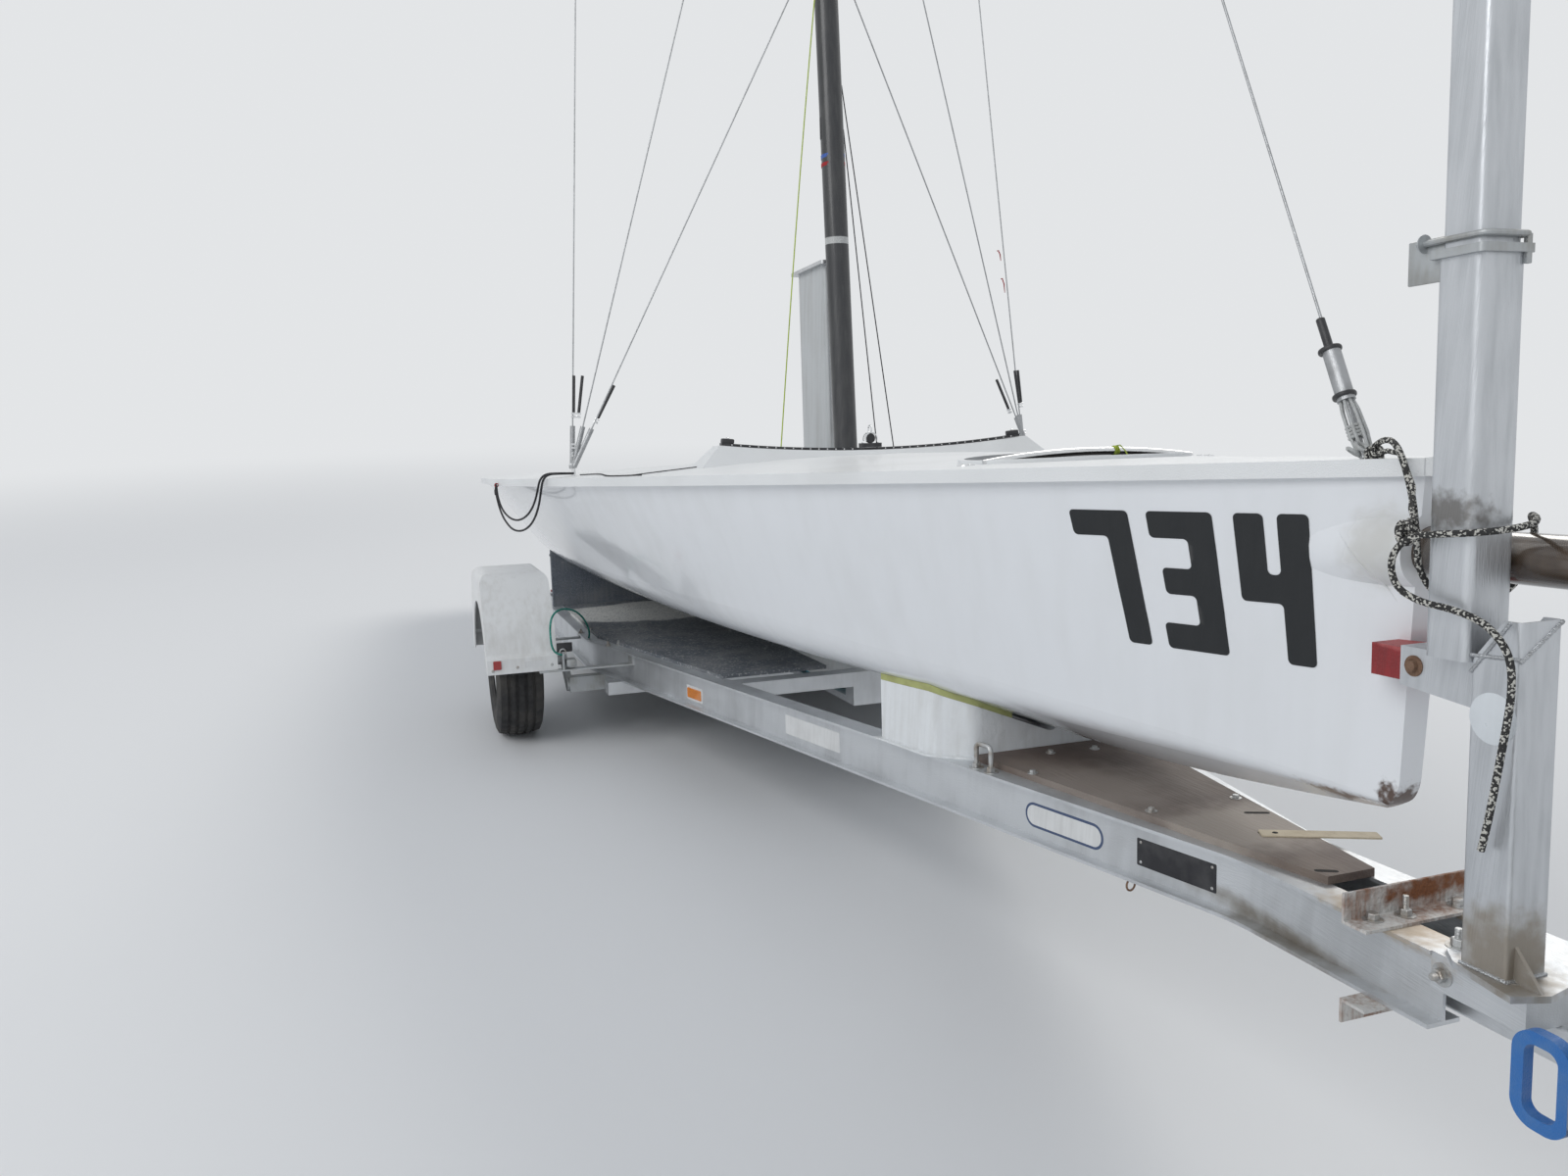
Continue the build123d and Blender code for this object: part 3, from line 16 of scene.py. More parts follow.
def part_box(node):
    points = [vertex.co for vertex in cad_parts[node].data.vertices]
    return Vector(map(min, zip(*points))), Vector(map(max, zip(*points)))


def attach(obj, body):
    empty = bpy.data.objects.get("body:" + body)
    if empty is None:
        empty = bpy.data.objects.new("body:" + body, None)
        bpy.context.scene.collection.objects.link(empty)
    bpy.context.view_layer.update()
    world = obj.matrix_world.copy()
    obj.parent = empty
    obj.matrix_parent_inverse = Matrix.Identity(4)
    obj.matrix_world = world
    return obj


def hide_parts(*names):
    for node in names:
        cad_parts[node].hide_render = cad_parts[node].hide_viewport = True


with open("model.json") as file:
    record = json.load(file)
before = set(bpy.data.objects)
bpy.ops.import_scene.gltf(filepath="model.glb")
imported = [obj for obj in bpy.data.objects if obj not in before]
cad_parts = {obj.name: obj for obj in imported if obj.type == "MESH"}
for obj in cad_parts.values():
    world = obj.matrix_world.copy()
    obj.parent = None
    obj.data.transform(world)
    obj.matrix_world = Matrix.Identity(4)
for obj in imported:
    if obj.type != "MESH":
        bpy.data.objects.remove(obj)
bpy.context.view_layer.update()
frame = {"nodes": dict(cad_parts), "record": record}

# How it parks
NOSE_UP = radians(6.3)
WHEEL_LOW, WHEEL_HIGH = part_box("rim_port")
AXLE = (WHEEL_LOW + WHEEL_HIGH) / 2
LEVEL = Matrix.Translation((AXLE.x, 0, AXLE.z)) @ Matrix.Rotation(-NOSE_UP, 4, "Y")
UNLEVEL = LEVEL.inverted()

AHEAD = Vector((1, 0, 0))
PORT = Vector((0, 1, 0))
UP = Vector((0, 0, 1))
SIDES = (-1, 1)
SIDE_NAMES = {-1: "starboard", 1: "port"}

RAIL_BEND = (-0.020, 0.775)
RAIL_MEET = (3.150, 0.075)
RAIL_SLOPE = (RAIL_BEND[1] - RAIL_MEET[1]) / (RAIL_MEET[0] - RAIL_BEND[0])
TRACK_X = 1.263
TRACK_HALF = 0.535
CHUTE_X = 2.460
CHUTE_HALF_LENGTH = 0.170
CHUTE_HALF_WIDTH = 0.280
MAST_FOOT = Vector((0.993, 0, 0.80))
MAST_RAKE = radians(2.8)
MAST_RADIUS = 0.041
HOUNDS = 6.0
SHROUD_FOOT = (0.663, 0.918, 0.80)
STAY_FOOT_X = 3.323


def level(x, y, z):
    """A point of the level frame, in the model's frame."""
    return LEVEL @ Vector((x, y, z))


def mast_point(height, forward=0.0, y=0.0):
    """A point beside the mast's line, height metres up from its foot."""
    return MAST_FOOT + Vector((forward - sin(MAST_RAKE) * height, y, cos(MAST_RAKE) * height))


def shroud_foot(side):
    """Where the shrouds of one side start, at their chainplate."""
    x, y, z = SHROUD_FOOT
    return Vector((x, side * y, z))


# Camera, as the photograph was taken
CAMERA_FROM_AXLE = Vector((4.727, -1.530))
CAMERA_HEIGHT = 1.675
CAMERA_HEADING = Vector((-0.947, 0.321)).normalized()
CAMERA_PITCH = radians(12.92)
CAMERA_ROLL = radians(0.14)
FOCAL_PIXELS = 1181.9
PHOTO_WIDTH = 1600
SENSOR = 36.0


def add_camera():
    """The camera at the photograph's place, angle and field of view."""
    data = bpy.data.cameras.new("camera")
    data.sensor_width = SENSOR
    data.lens = SENSOR * FOCAL_PIXELS / PHOTO_WIDTH
    data.clip_start = 0.05
    data.clip_end = 400
    camera = bpy.data.objects.new("camera", data)
    bpy.context.scene.collection.objects.link(camera)
    camera.location = (CAMERA_FROM_AXLE.x + AXLE.x, CAMERA_FROM_AXLE.y, CAMERA_HEIGHT)
    flat = cos(CAMERA_PITCH)
    ahead = Vector((CAMERA_HEADING.x * flat, CAMERA_HEADING.y * flat, -sin(CAMERA_PITCH)))
    camera.rotation_mode = "QUATERNION"
    turn = ahead.to_track_quat("-Z", "Y").to_matrix() @ Matrix.Rotation(CAMERA_ROLL, 3, "Z")
    camera.rotation_quaternion = turn.to_quaternion()
    bpy.context.scene.camera = camera


# Shader effects that several finishes share

EVEN = (1, 1, 1)
ALONG = (0.04, 1, 1)
UPWARD = (1, 1, 0.04)
RUN_DOWN = (9, 9, 0.7)
SOCKET_KINDS = {1: "NodeSocketFloat", 3: "NodeSocketVector", 4: "NodeSocketColor"}


def new_group(name, inputs, outputs):
    """An empty shader group with named sockets, with what comes in and what goes out."""
    tree = bpy.data.node_groups.new(name, "ShaderNodeTree")
    for label, value in inputs.items():
        kind = SOCKET_KINDS[len(value) if isinstance(value, tuple) else 1]
        tree.interface.new_socket(label, in_out="INPUT", socket_type=kind).default_value = value
    for label in outputs:
        kind = SOCKET_KINDS[4 if label == "Colour" else 1]
        tree.interface.new_socket(label, in_out="OUTPUT", socket_type=kind)
    return tree, tree.nodes.new("NodeGroupInput").outputs, tree.nodes.new("NodeGroupOutput").inputs


def feed(tree, target, source):
    """Fill a socket with another socket or with a plain value."""
    if isinstance(source, bpy.types.NodeSocket):
        tree.links.new(source, target)
    else:
        target.default_value = source


def add_node(tree, kind, inputs, output=0, **settings):
    """A node with its settings and filled inputs; gives one of its outputs."""
    node = tree.nodes.new("ShaderNode" + kind)
    for label, value in settings.items():
        setattr(node, label, value)
    for label, source in inputs.items():
        feed(tree, node.inputs[label], source)
    return node.outputs[output]


def math_node(tree, operation, first, second=0.0):
    return add_node(tree, "Math", {0: first, 1: second}, operation=operation)


def vector_node(tree, operation, first, second=(0, 0, 0)):
    """A sum with two places; a length or a distance along a direction is a number."""
    output = "Value" if operation in ("LENGTH", "DOT_PRODUCT") else "Vector"
    return add_node(tree, "VectorMath", {0: first, 1: second}, output, operation=operation)


def ramp_node(tree, value, low, high):
    """0 below low, 1 above high, and a smooth step between them."""
    inputs = {0: value, 1: low, 2: high, 3: 0.0, 4: 1.0}
    return add_node(tree, "MapRange", inputs, interpolation_type="SMOOTHSTEP")


def noise_node(tree, vector, scale, detail):
    return add_node(tree, "TexNoise", {"Vector": vector, "Scale": scale, "Detail": detail}, "Fac")


def own_place(tree):
    return add_node(tree, "TexCoord", {}, "Object")


def stretched_place(tree, stretch):
    """The piece's own coordinates, stretched."""
    return add_node(tree, "Mapping", {"Vector": own_place(tree), "Scale": stretch})


def mix_colour(tree, mask, first, second):
    return add_node(tree, "Mix", {0: mask, 6: first, 7: second}, 2, data_type="RGBA")


def build_weather_group():
    """Stains in soft patches and in runs down the side."""
    inputs = {
        "Colour": (0.8, 0.8, 0.8, 1),
        "Stain": (0.4, 0.4, 0.4, 1),
        "Scale": 4.0,
        "Amount": 0.3,
        "Runs": 0.4,
    }
    tree, start, end = new_group("weather", inputs, ("Colour",))
    patches = noise_node(tree, stretched_place(tree, EVEN), start["Scale"], 6)
    runs = noise_node(tree, stretched_place(tree, RUN_DOWN), start["Scale"], 4)
    both = math_node(tree, "ADD", patches, math_node(tree, "MULTIPLY", runs, start["Runs"]))
    mean = math_node(tree, "DIVIDE", both, math_node(tree, "ADD", start["Runs"], 1.0))
    mask = math_node(tree, "MULTIPLY", ramp_node(tree, mean, 0.40, 0.72), start["Amount"])
    feed(tree, end["Colour"], mix_colour(tree, mask, start["Colour"], start["Stain"]))
    return tree


def build_grain_group():
    """Uneven gloss and a fine relief, stretched the way the stuff was worked."""
    inputs = {"Roughness": 0.5, "Spread": 0.2, "Scale": 60.0, "Stretch": EVEN}
    tree, start, end = new_group("grain", inputs, ("Roughness", "Height"))
    place = stretched_place(tree, start["Stretch"])
    broad = noise_node(tree, place, math_node(tree, "MULTIPLY", start["Scale"], 0.12), 4)
    change = math_node(tree, "MULTIPLY", math_node(tree, "SUBTRACT", broad, 0.5), start["Spread"])
    feed(tree, end["Roughness"], math_node(tree, "ADD", start["Roughness"], change))
    feed(tree, end["Height"], noise_node(tree, place, start["Scale"], 3))
    return tree


def build_patch_group():
    """A ragged patch round one place, such as a scuff, a chip, a rust bloom or a painted pool of
    sunlight.
    """
    inputs = {
        "Centre": (0, 0, 0),
        "Reach": (0.1, 0.1, 0.1),
        "Softness": 0.3,
        "Ragged": 0.8,
        "Scale": 30.0,
    }
    tree, start, end = new_group("patch", inputs, ("Mask",))
    place = own_place(tree)
    away = vector_node(tree, "SUBTRACT", place, start["Centre"])
    far = vector_node(tree, "LENGTH", vector_node(tree, "DIVIDE", away, start["Reach"]))
    uneven = math_node(tree, "SUBTRACT", noise_node(tree, place, start["Scale"], 5), 0.5)
    distance = math_node(tree, "ADD", far, math_node(tree, "MULTIPLY", uneven, start["Ragged"]))
    inner = math_node(tree, "SUBTRACT", 1.0, start["Softness"])
    outer = math_node(tree, "ADD", 1.0, start["Softness"])
    outside = ramp_node(tree, distance, inner, outer)
    feed(tree, end["Mask"], math_node(tree, "SUBTRACT", 1.0, outside))
    return tree


def build_band_group():
    """A band between two distances along one direction."""
    inputs = {"Direction": (0, 0, 1), "From": 0.0, "To": 0.1, "Softness": 0.01}
    tree, start, end = new_group("band", inputs, ("Mask",))
    distance = vector_node(tree, "DOT_PRODUCT", own_place(tree), start["Direction"])
    masks = []
    for limit in ("From", "To"):
        low = math_node(tree, "SUBTRACT", start[limit], start["Softness"])
        high = math_node(tree, "ADD", start[limit], start["Softness"])
        masks.append(ramp_node(tree, distance, low, high))
    feed(tree, end["Mask"], math_node(tree, "SUBTRACT", *masks))
    return tree


def build_fleck_group():
    """Single cells of another colour, as in braid or a speckled coating."""
    tree, start, end = new_group("fleck", {"Scale": 300.0, "Share": 0.3}, ("Mask", "Height"))
    cells = {"Vector": own_place(tree), "Scale": start["Scale"]}
    tint = add_node(tree, "TexVoronoi", cells, "Color")
    red = add_node(tree, "SeparateColor", {0: tint})
    feed(tree, end["Mask"], math_node(tree, "LESS_THAN", red, start["Share"]))
    feed(tree, end["Height"], math_node(tree, "SUBTRACT", 1.0, tint.node.outputs["Distance"]))
    return tree


def build_weave_group():
    """Crossed strands of woven cloth under a clear coat."""
    tree, start, end = new_group("weave", {"Scale": 80.0, "Unevenness": 1.5}, ("Mask",))
    waves = []
    for lean in (-1, 1):
        turn = (0.4, lean * pi / 4, lean * 0.5)
        strands = {
            "Vector": add_node(tree, "Mapping", {"Vector": own_place(tree), "Rotation": turn}),
            "Scale": start["Scale"],
            "Distortion": start["Unevenness"],
        }
        waves.append(add_node(tree, "TexWave", strands, "Fac"))
    feed(tree, end["Mask"], math_node(tree, "MULTIPLY", *waves))
    return tree


GROUPS = {
    "weather": build_weather_group(),
    "grain": build_grain_group(),
    "patch": build_patch_group(),
    "band": build_band_group(),
    "fleck": build_fleck_group(),
    "weave": build_weave_group(),
}


def place_group(material, name, values):
    """One use of a shared effect in a material, with this finish's own values."""
    node = material.node_tree.nodes.new("ShaderNodeGroup")
    node.node_tree = GROUPS[name]
    for label, value in values.items():
        node.inputs[label].default_value = value
    return node.outputs


def shader_of(material):
    return material.node_tree.nodes["Principled BSDF"]


def overlay(material, mask, colour, roughness=None):
    """Lay another colour, and its gloss, over a finish where the mask is."""
    tree = material.node_tree
    sockets = shader_of(material).inputs
    under = sockets["Base Color"].links[0].from_socket
    feed(tree, sockets["Base Color"], mix_colour(tree, mask, under, (*colour, 1)))
    if roughness is not None:
        gloss = {0: mask, 2: sockets["Roughness"].links[0].from_socket, 3: roughness}
        feed(tree, sockets["Roughness"], add_node(tree, "Mix", gloss))


def add_patch(finish, centre, reach, colour, roughness, softness, ragged, scale):
    """A scuff, chip, rust bloom or painted pool of sunlight round a point of the level frame."""
    material = MATERIALS[finish]
    values = {
        "Centre": level(*centre),
        "Reach": reach,
        "Softness": softness,
        "Ragged": ragged,
        "Scale": scale,
    }
    overlay(material, place_group(material, "patch", values)["Mask"], colour, roughness)


def add_band(finish, direction, start, end, colour, roughness, softness):
    """A stripe of another colour between two distances of the level frame."""
    material = MATERIALS[finish]
    turned = LEVEL.to_3x3() @ Vector(direction)
    shift = turned.dot(LEVEL.translation)
    values = {
        "Direction": turned,
        "From": start + shift,
        "To": end + shift,
        "Softness": softness,
    }
    overlay(material, place_group(material, "band", values)["Mask"], colour, roughness)


def add_weave(finish, scale, colour):
    """Woven strands that show through the coat."""
    material = MATERIALS[finish]
    cloth = place_group(material, "weave", {"Scale": scale, "Unevenness": 1.2})
    overlay(material, cloth["Mask"], colour)


def add_flecks(finish, scale, share, colour):
    """Cells of another colour, raised a little as braid is."""
    material = MATERIALS[finish]
    cells = place_group(material, "fleck", {"Scale": scale, "Share": share})
    overlay(material, cells["Mask"], colour)
    for bump in material.node_tree.nodes:
        if bump.type == "BUMP":
            feed(material.node_tree, bump.inputs["Height"], cells["Height"])


WHITE_STAIN = (0.62, 0.63, 0.62)
RUST = (0.22, 0.085, 0.03)
OXIDE = (0.40, 0.41, 0.42)
FINISH_COLUMNS = (
    "slot", "colour", "stain", "scale", "amount", "runs",
    "roughness", "spread", "metallic", "coat", "grain", "stretch", "depth",
)
RELIEF_SHARE = 10
FINISHES = {
    "hull_white": ("gelcoat", (0.80, 0.82, 0.845), WHITE_STAIN, 1.6, 0.22, 1.2,
        0.20, 0.12, 0.0, 0.6, 9.0, EVEN, 0.00025),
    "deck_white": ("deck_gelcoat", (0.80, 0.815, 0.82), WHITE_STAIN, 3.0, 0.35, 0.0,
        0.42, 0.18, 0.0, 0.1, 520.0, EVEN, 0.0002),
    "mast_black": ("carbon", (0.022, 0.023, 0.026), (0.09, 0.09, 0.085), 9.0, 0.5, 1.5,
        0.42, 0.25, 0.0, 0.25, 180.0, UPWARD, 0.0001),
    "pole_black": ("carbon", (0.030, 0.022, 0.018), (0.115, 0.075, 0.045), 14.0, 0.85, 0.0,
        0.22, 0.12, 0.0, 0.9, 120.0, ALONG, 0.0001),
    "rail_metal": ("rail_alloy", (0.66, 0.68, 0.70), OXIDE, 5.0, 0.55, 0.3,
        0.42, 0.22, 0.85, 0.0, 420.0, ALONG, 0.00012),
    "post_metal": ("post_alloy", (0.60, 0.62, 0.645), (0.42, 0.44, 0.46), 7.0, 0.6, 1.6,
        0.42, 0.25, 0.85, 0.0, 380.0, UPWARD, 0.00012),
    "dull_zinc": ("galvanised", (0.46, 0.48, 0.49), (0.30, 0.29, 0.26), 16.0, 0.7, 0.3,
        0.52, 0.25, 0.75, 0.0, 90.0, EVEN, 0.0002),
    "jack_zinc": ("galvanised", (0.36, 0.385, 0.37), (0.30, 0.22, 0.14), 12.0, 0.65, 1.2,
        0.55, 0.2, 0.6, 0.0, 90.0, EVEN, 0.0002),
    "polished_steel": ("stainless", (0.72, 0.73, 0.74), (0.5, 0.5, 0.49), 25.0, 0.3, 0.0,
        0.16, 0.14, 1.0, 0.0, 500.0, EVEN, 0.00004),
    "black_moulding": ("black_fitting", (0.025, 0.025, 0.028), (0.09, 0.09, 0.09), 30.0, 0.3, 0.0,
        0.45, 0.2, 0.0, 0.0, 600.0, EVEN, 0.0001),
    "track_anodised": ("track_black", (0.030, 0.030, 0.034), (0.12, 0.12, 0.12), 22.0, 0.35, 0.0,
        0.36, 0.2, 0.4, 0.0, 700.0, EVEN, 0.00005),
    "fin_grey": ("fin_paint", (0.50, 0.52, 0.53), (0.33, 0.33, 0.32), 5.0, 0.5, 1.4,
        0.40, 0.2, 0.25, 0.1, 60.0, UPWARD, 0.0002),
    "bulb_white": ("bulb_paint", (0.74, 0.76, 0.76), (0.45, 0.44, 0.40), 7.0, 0.4, 0.5,
        0.40, 0.2, 0.0, 0.2, 70.0, EVEN, 0.0003),
    "guard_white": ("guard_plastic", (0.76, 0.77, 0.77), (0.46, 0.44, 0.40), 5.0, 0.38, 1.2,
        0.38, 0.2, 0.0, 0.15, 260.0, EVEN, 0.00015),
    "tyre_rubber": ("tyre", (0.022, 0.022, 0.023), (0.095, 0.088, 0.078), 12.0, 0.55, 0.0,
        0.78, 0.15, 0.0, 0.0, 300.0, EVEN, 0.0003),
    "rim_silver": ("rim_paint", (0.58, 0.59, 0.60), (0.28, 0.25, 0.21), 14.0, 0.5, 0.0,
        0.36, 0.2, 0.5, 0.2, 300.0, EVEN, 0.0001),
    "jockey_black": ("jockey_rubber", (0.045, 0.045, 0.045), (0.17, 0.155, 0.13), 20.0, 0.6, 0.0,
        0.75, 0.15, 0.0, 0.0, 300.0, EVEN, 0.0004),
    "deck_ply": ("ply", (0.105, 0.078, 0.066), (0.215, 0.175, 0.145), 4.0, 0.75, 0.0,
        0.62, 0.2, 0.0, 0.0, 130.0, (0.05, 1, 1), 0.0005),
    # Floor panel: its dark colour is painted shade, the boat's shadow on the panel
    "floor_painted_shade": ("floor_panel", (0.105, 0.118, 0.135), (0.25, 0.255, 0.26), 7.0, 0.6, 0.0,
        0.55, 0.2, 0.0, 0.0, 340.0, EVEN, 0.0003),
    "chock_white": ("chock_moulding", (0.76, 0.785, 0.80), (0.47, 0.46, 0.43), 6.0, 0.35, 1.4,
        0.34, 0.18, 0.0, 0.2, 40.0, EVEN, 0.0005),
    "cradle_carpet": ("carpet", (0.115, 0.135, 0.165), (0.30, 0.30, 0.29), 9.0, 0.5, 0.6,
        0.92, 0.08, 0.0, 0.0, 900.0, EVEN, 0.0012),
    "foam_green": ("foam", (0.46, 0.49, 0.20), (0.30, 0.28, 0.13), 22.0, 0.5, 0.0,
        0.85, 0.1, 0.0, 0.0, 650.0, EVEN, 0.0006),
    "stop_rubber": ("stop_red", (0.30, 0.022, 0.026), (0.10, 0.02, 0.02), 16.0, 0.5, 0.5,
        0.55, 0.2, 0.0, 0.0, 260.0, EVEN, 0.0004),
    "stay_wire": ("wire", (0.40, 0.41, 0.42), (0.2, 0.2, 0.2), 40.0, 0.4, 0.0,
        0.38, 0.15, 0.8, 0.0, 900.0, (1, 1, 0.3), 0.0001),
    "cap_metal": ("cap_plate", (0.60, 0.61, 0.62), OXIDE, 14.0, 0.5, 0.0,
        0.38, 0.2, 0.85, 0.0, 500.0, ALONG, 0.0001),
    "crutch_black": ("crutch", (0.035, 0.035, 0.038), (0.12, 0.12, 0.115), 12.0, 0.4, 0.0,
        0.62, 0.2, 0.0, 0.0, 260.0, EVEN, 0.0005),
    "rusted_angle": ("rusty_angle", (0.60, 0.595, 0.575), RUST, 17.0, 1.0, 0.5,
        0.62, 0.25, 0.1, 0.0, 130.0, EVEN, 0.0009),
    "tail_red": ("lamp_red", (0.36, 0.012, 0.012), (0.22, 0.03, 0.025), 20.0, 0.4, 0.4,
        0.18, 0.15, 0.0, 0.7, 400.0, (0.3, 6, 0.3), 0.0004),
    "handle_blue": ("grip_blue", (0.020, 0.145, 0.44), (0.08, 0.20, 0.42), 25.0, 0.5, 0.0,
        0.42, 0.2, 0.0, 0.1, 420.0, EVEN, 0.0003),
    "fleck_braid": ("rope_fleck", (0.030, 0.030, 0.030), (0.07, 0.07, 0.065), 60.0, 0.3, 0.0,
        0.85, 0.1, 0.0, 0.0, 700.0, EVEN, 0.0008),
    "dark_braid": ("rope_dark", (0.018, 0.018, 0.021), (0.06, 0.06, 0.06), 60.0, 0.4, 0.0,
        0.85, 0.1, 0.0, 0.0, 900.0, EVEN, 0.0008),
    "green_braid": ("rope_green", (0.018, 0.22, 0.165), (0.05, 0.30, 0.24), 70.0, 0.5, 0.0,
        0.85, 0.1, 0.0, 0.0, 900.0, EVEN, 0.0008),
    "lime_line": ("rope_green", (0.47, 0.60, 0.06), (0.28, 0.36, 0.05), 80.0, 0.5, 0.0,
        0.8, 0.1, 0.0, 0.0, 900.0, EVEN, 0.0006),
    "clear_line": ("rope_fleck", (0.55, 0.565, 0.56), (0.36, 0.36, 0.34), 70.0, 0.5, 0.0,
        0.55, 0.15, 0.0, 0.1, 900.0, EVEN, 0.0006),
    "red_lashing": ("stop_red", (0.40, 0.020, 0.025), (0.2, 0.02, 0.02), 70.0, 0.4, 0.0,
        0.8, 0.1, 0.0, 0.0, 900.0, EVEN, 0.0006),
    "blue_tape": ("grip_blue", (0.03, 0.10, 0.40), (0.02, 0.05, 0.2), 60.0, 0.4, 0.0,
        0.45, 0.1, 0.0, 0.1, 500.0, EVEN, 0.0002),
    "numeral_black": ("track_black", (0.006, 0.008, 0.010), (0.022, 0.023, 0.025), 6.0, 0.3, 0.8,
        0.46, 0.12, 0.0, 0.0, 200.0, EVEN, 0.00005),
    "plain_label": ("guard_plastic", (0.70, 0.71, 0.71), (0.50, 0.50, 0.49), 12.0, 0.5, 0.8,
        0.40, 0.1, 0.0, 0.1, 300.0, EVEN, 0.00005),
    "label_edge": ("grip_blue", (0.045, 0.075, 0.16), (0.1, 0.13, 0.2), 12.0, 0.4, 0.5,
        0.4, 0.1, 0.0, 0.1, 300.0, EVEN, 0.00005),
    "amber_lens": ("lamp_red", (0.78, 0.24, 0.015), (0.55, 0.16, 0.02), 30.0, 0.4, 0.3,
        0.20, 0.1, 0.0, 0.8, 300.0, (0.4, 5, 5), 0.0004),
    "disc_clear": ("guard_plastic", (0.70, 0.74, 0.77), (0.60, 0.63, 0.65), 18.0, 0.4, 0.4,
        0.30, 0.1, 0.1, 0.3, 300.0, EVEN, 0.00005),
    "weld_metal": ("post_alloy", (0.50, 0.52, 0.54), (0.25, 0.25, 0.25), 60.0, 0.6, 0.0,
        0.35, 0.2, 0.9, 0.0, 500.0, EVEN, 0.0006),
    "bolt_zinc": ("galvanised", (0.50, 0.51, 0.51), (0.27, 0.21, 0.15), 45.0, 0.75, 0.0,
        0.42, 0.25, 0.85, 0.0, 300.0, EVEN, 0.0002),
    "bolt_rusty": ("rusty_angle", (0.24, 0.15, 0.10), (0.10, 0.045, 0.02), 50.0, 0.8, 0.0,
        0.75, 0.15, 0.35, 0.0, 300.0, EVEN, 0.0006),
    "slot_shadow": ("black_fitting", (0.010, 0.009, 0.009), (0.03, 0.025, 0.02), 50.0, 0.5, 0.0,
        0.9, 0.05, 0.0, 0.0, 300.0, EVEN, 0.0002),
    "strap_cream": ("ply", (0.52, 0.45, 0.33), (0.34, 0.27, 0.18), 18.0, 0.6, 0.0,
        0.62, 0.15, 0.0, 0.0, 260.0, ALONG, 0.0004),
    "dome_white": ("guard_plastic", (0.80, 0.80, 0.79), (0.6, 0.6, 0.6), 30.0, 0.2, 0.0,
        0.35, 0.1, 0.0, 0.2, 300.0, EVEN, 0.0001),
}


def make_finish(name):
    """A finish's material: its stains, uneven gloss and fine relief."""
    row = dict(zip(FINISH_COLUMNS, FINISHES[name]))
    material = bpy.data.materials.new(name)
    material.use_nodes = True
    tree = material.node_tree
    sockets = shader_of(material).inputs
    weather = {
        "Colour": (*row["colour"], 1),
        "Stain": (*row["stain"], 1),
        "Scale": row["scale"],
        "Amount": row["amount"],
        "Runs": row["runs"],
    }
    grain = {
        "Roughness": row["roughness"],
        "Spread": row["spread"],
        "Scale": row["grain"],
        "Stretch": row["stretch"],
    }
    stains = place_group(material, "weather", weather)
    relief = place_group(material, "grain", grain)
    bump = {"Distance": row["depth"] * RELIEF_SHARE, "Strength": 0.5, "Height": relief["Height"]}
    feed(tree, sockets["Base Color"], stains["Colour"])
    feed(tree, sockets["Roughness"], relief["Roughness"])
    feed(tree, sockets["Normal"], add_node(tree, "Bump", bump))
    sockets["Metallic"].default_value = row["metallic"]
    sockets["Coat Weight"].default_value = row["coat"]
    sockets["Coat Roughness"].default_value = 0.06
    return material


MATERIALS = {name: make_finish(name) for name in FINISHES}

# Finish, centre, reach, colour, roughness, softness, raggedness and scale of each patch: worn places,
# stains, rust and one painted pool of sunlight
PATCHES = (
    ("hull_white", (3.415, 0, 0.256), (0.020, 0.04, 0.030), (0.085, 0.050, 0.036), 0.6, 0.3, 1.4, 90),
    ("hull_white", (3.350, 0, 0.232), (0.120, 0.06, 0.012), (0.30, 0.24, 0.20), 0.6, 0.4, 1.8, 70),
    ("hull_white", (3.41, 0, 0.665), (0.05, 0.16, 0.06), (0.62, 0.62, 0.60), 0.4, 0.5, 1.0, 30),
    ("post_metal", (3.60, -0.12, 0.735), (0.05, 0.04, 0.024), (0.24, 0.235, 0.23), 0.55, 0.5, 1.6, 70),
    ("post_metal", (3.70, -0.10, 0.12), (0.07, 0.07, 0.06), (0.34, 0.31, 0.27), 0.6, 0.5, 1.2, 40),
    ("rail_metal", (3.46, -0.06, 0.075), (0.12, 0.16, 0.02), (0.47, 0.41, 0.34), 0.6, 0.5, 1.4, 45),
    ("rail_metal", (3.25, 0, -0.04), (0.35, 0.12, 0.02), (0.27, 0.25, 0.22), 0.6, 0.6, 1.2, 25),
    ("deck_ply", (3.05, 0.02, 0.09), (0.13, 0.34, 0.05), (0.31, 0.27, 0.235), 0.6, 0.5, 1.0, 20),
    ("deck_ply", (2.72, -0.12, 0.09), (0.20, 0.16, 0.05), (0.24, 0.205, 0.18), 0.6, 0.6, 1.2, 16),
    # Painted sunlight: the floor panel's rear, lit outside the boat's painted shade
    ("floor_painted_shade", (-0.62, -0.25, 0.08), (0.55, 0.62, 0.05), (0.60, 0.60, 0.575), 0.6, 0.06, 0.35, 9),
    ("floor_painted_shade", (0.55, -0.04, 0.08), (0.62, 0.10, 0.05), (0.30, 0.315, 0.33), 0.5, 0.08, 0.25, 12),
    ("rusted_angle", (3.47, 0.03, 0.108), (0.03, 0.12, 0.022), (0.20, 0.075, 0.028), 0.75, 0.5, 2.0, 45),
    ("stop_rubber", (3.464, -0.02, 0.52), (0.05, 0.08, 0.006), (0.42, 0.10, 0.10), 0.6, 0.4, 1.0, 60),
)
for patch_row in PATCHES:
    add_patch(*patch_row)

# Finish, direction, start, end, colour, roughness and softness of each stripe
BANDS = (
    ("mast_black", UP, 1.552, 1.575, (0.62, 0.63, 0.62), 0.5, 0.0015),
    ("pole_black", AHEAD, 3.755, 3.805, (0.012, 0.012, 0.013), 0.6, 0.0015),
    ("bulb_white", UP, -0.055, -0.005, (0.03, 0.27, 0.33), 0.4, 0.004),
)
for band_row in BANDS:
    add_band(*band_row)

add_weave("pole_black", 130.0, (0.10, 0.075, 0.055))
add_weave("mast_black", 150.0, (0.045, 0.047, 0.052))

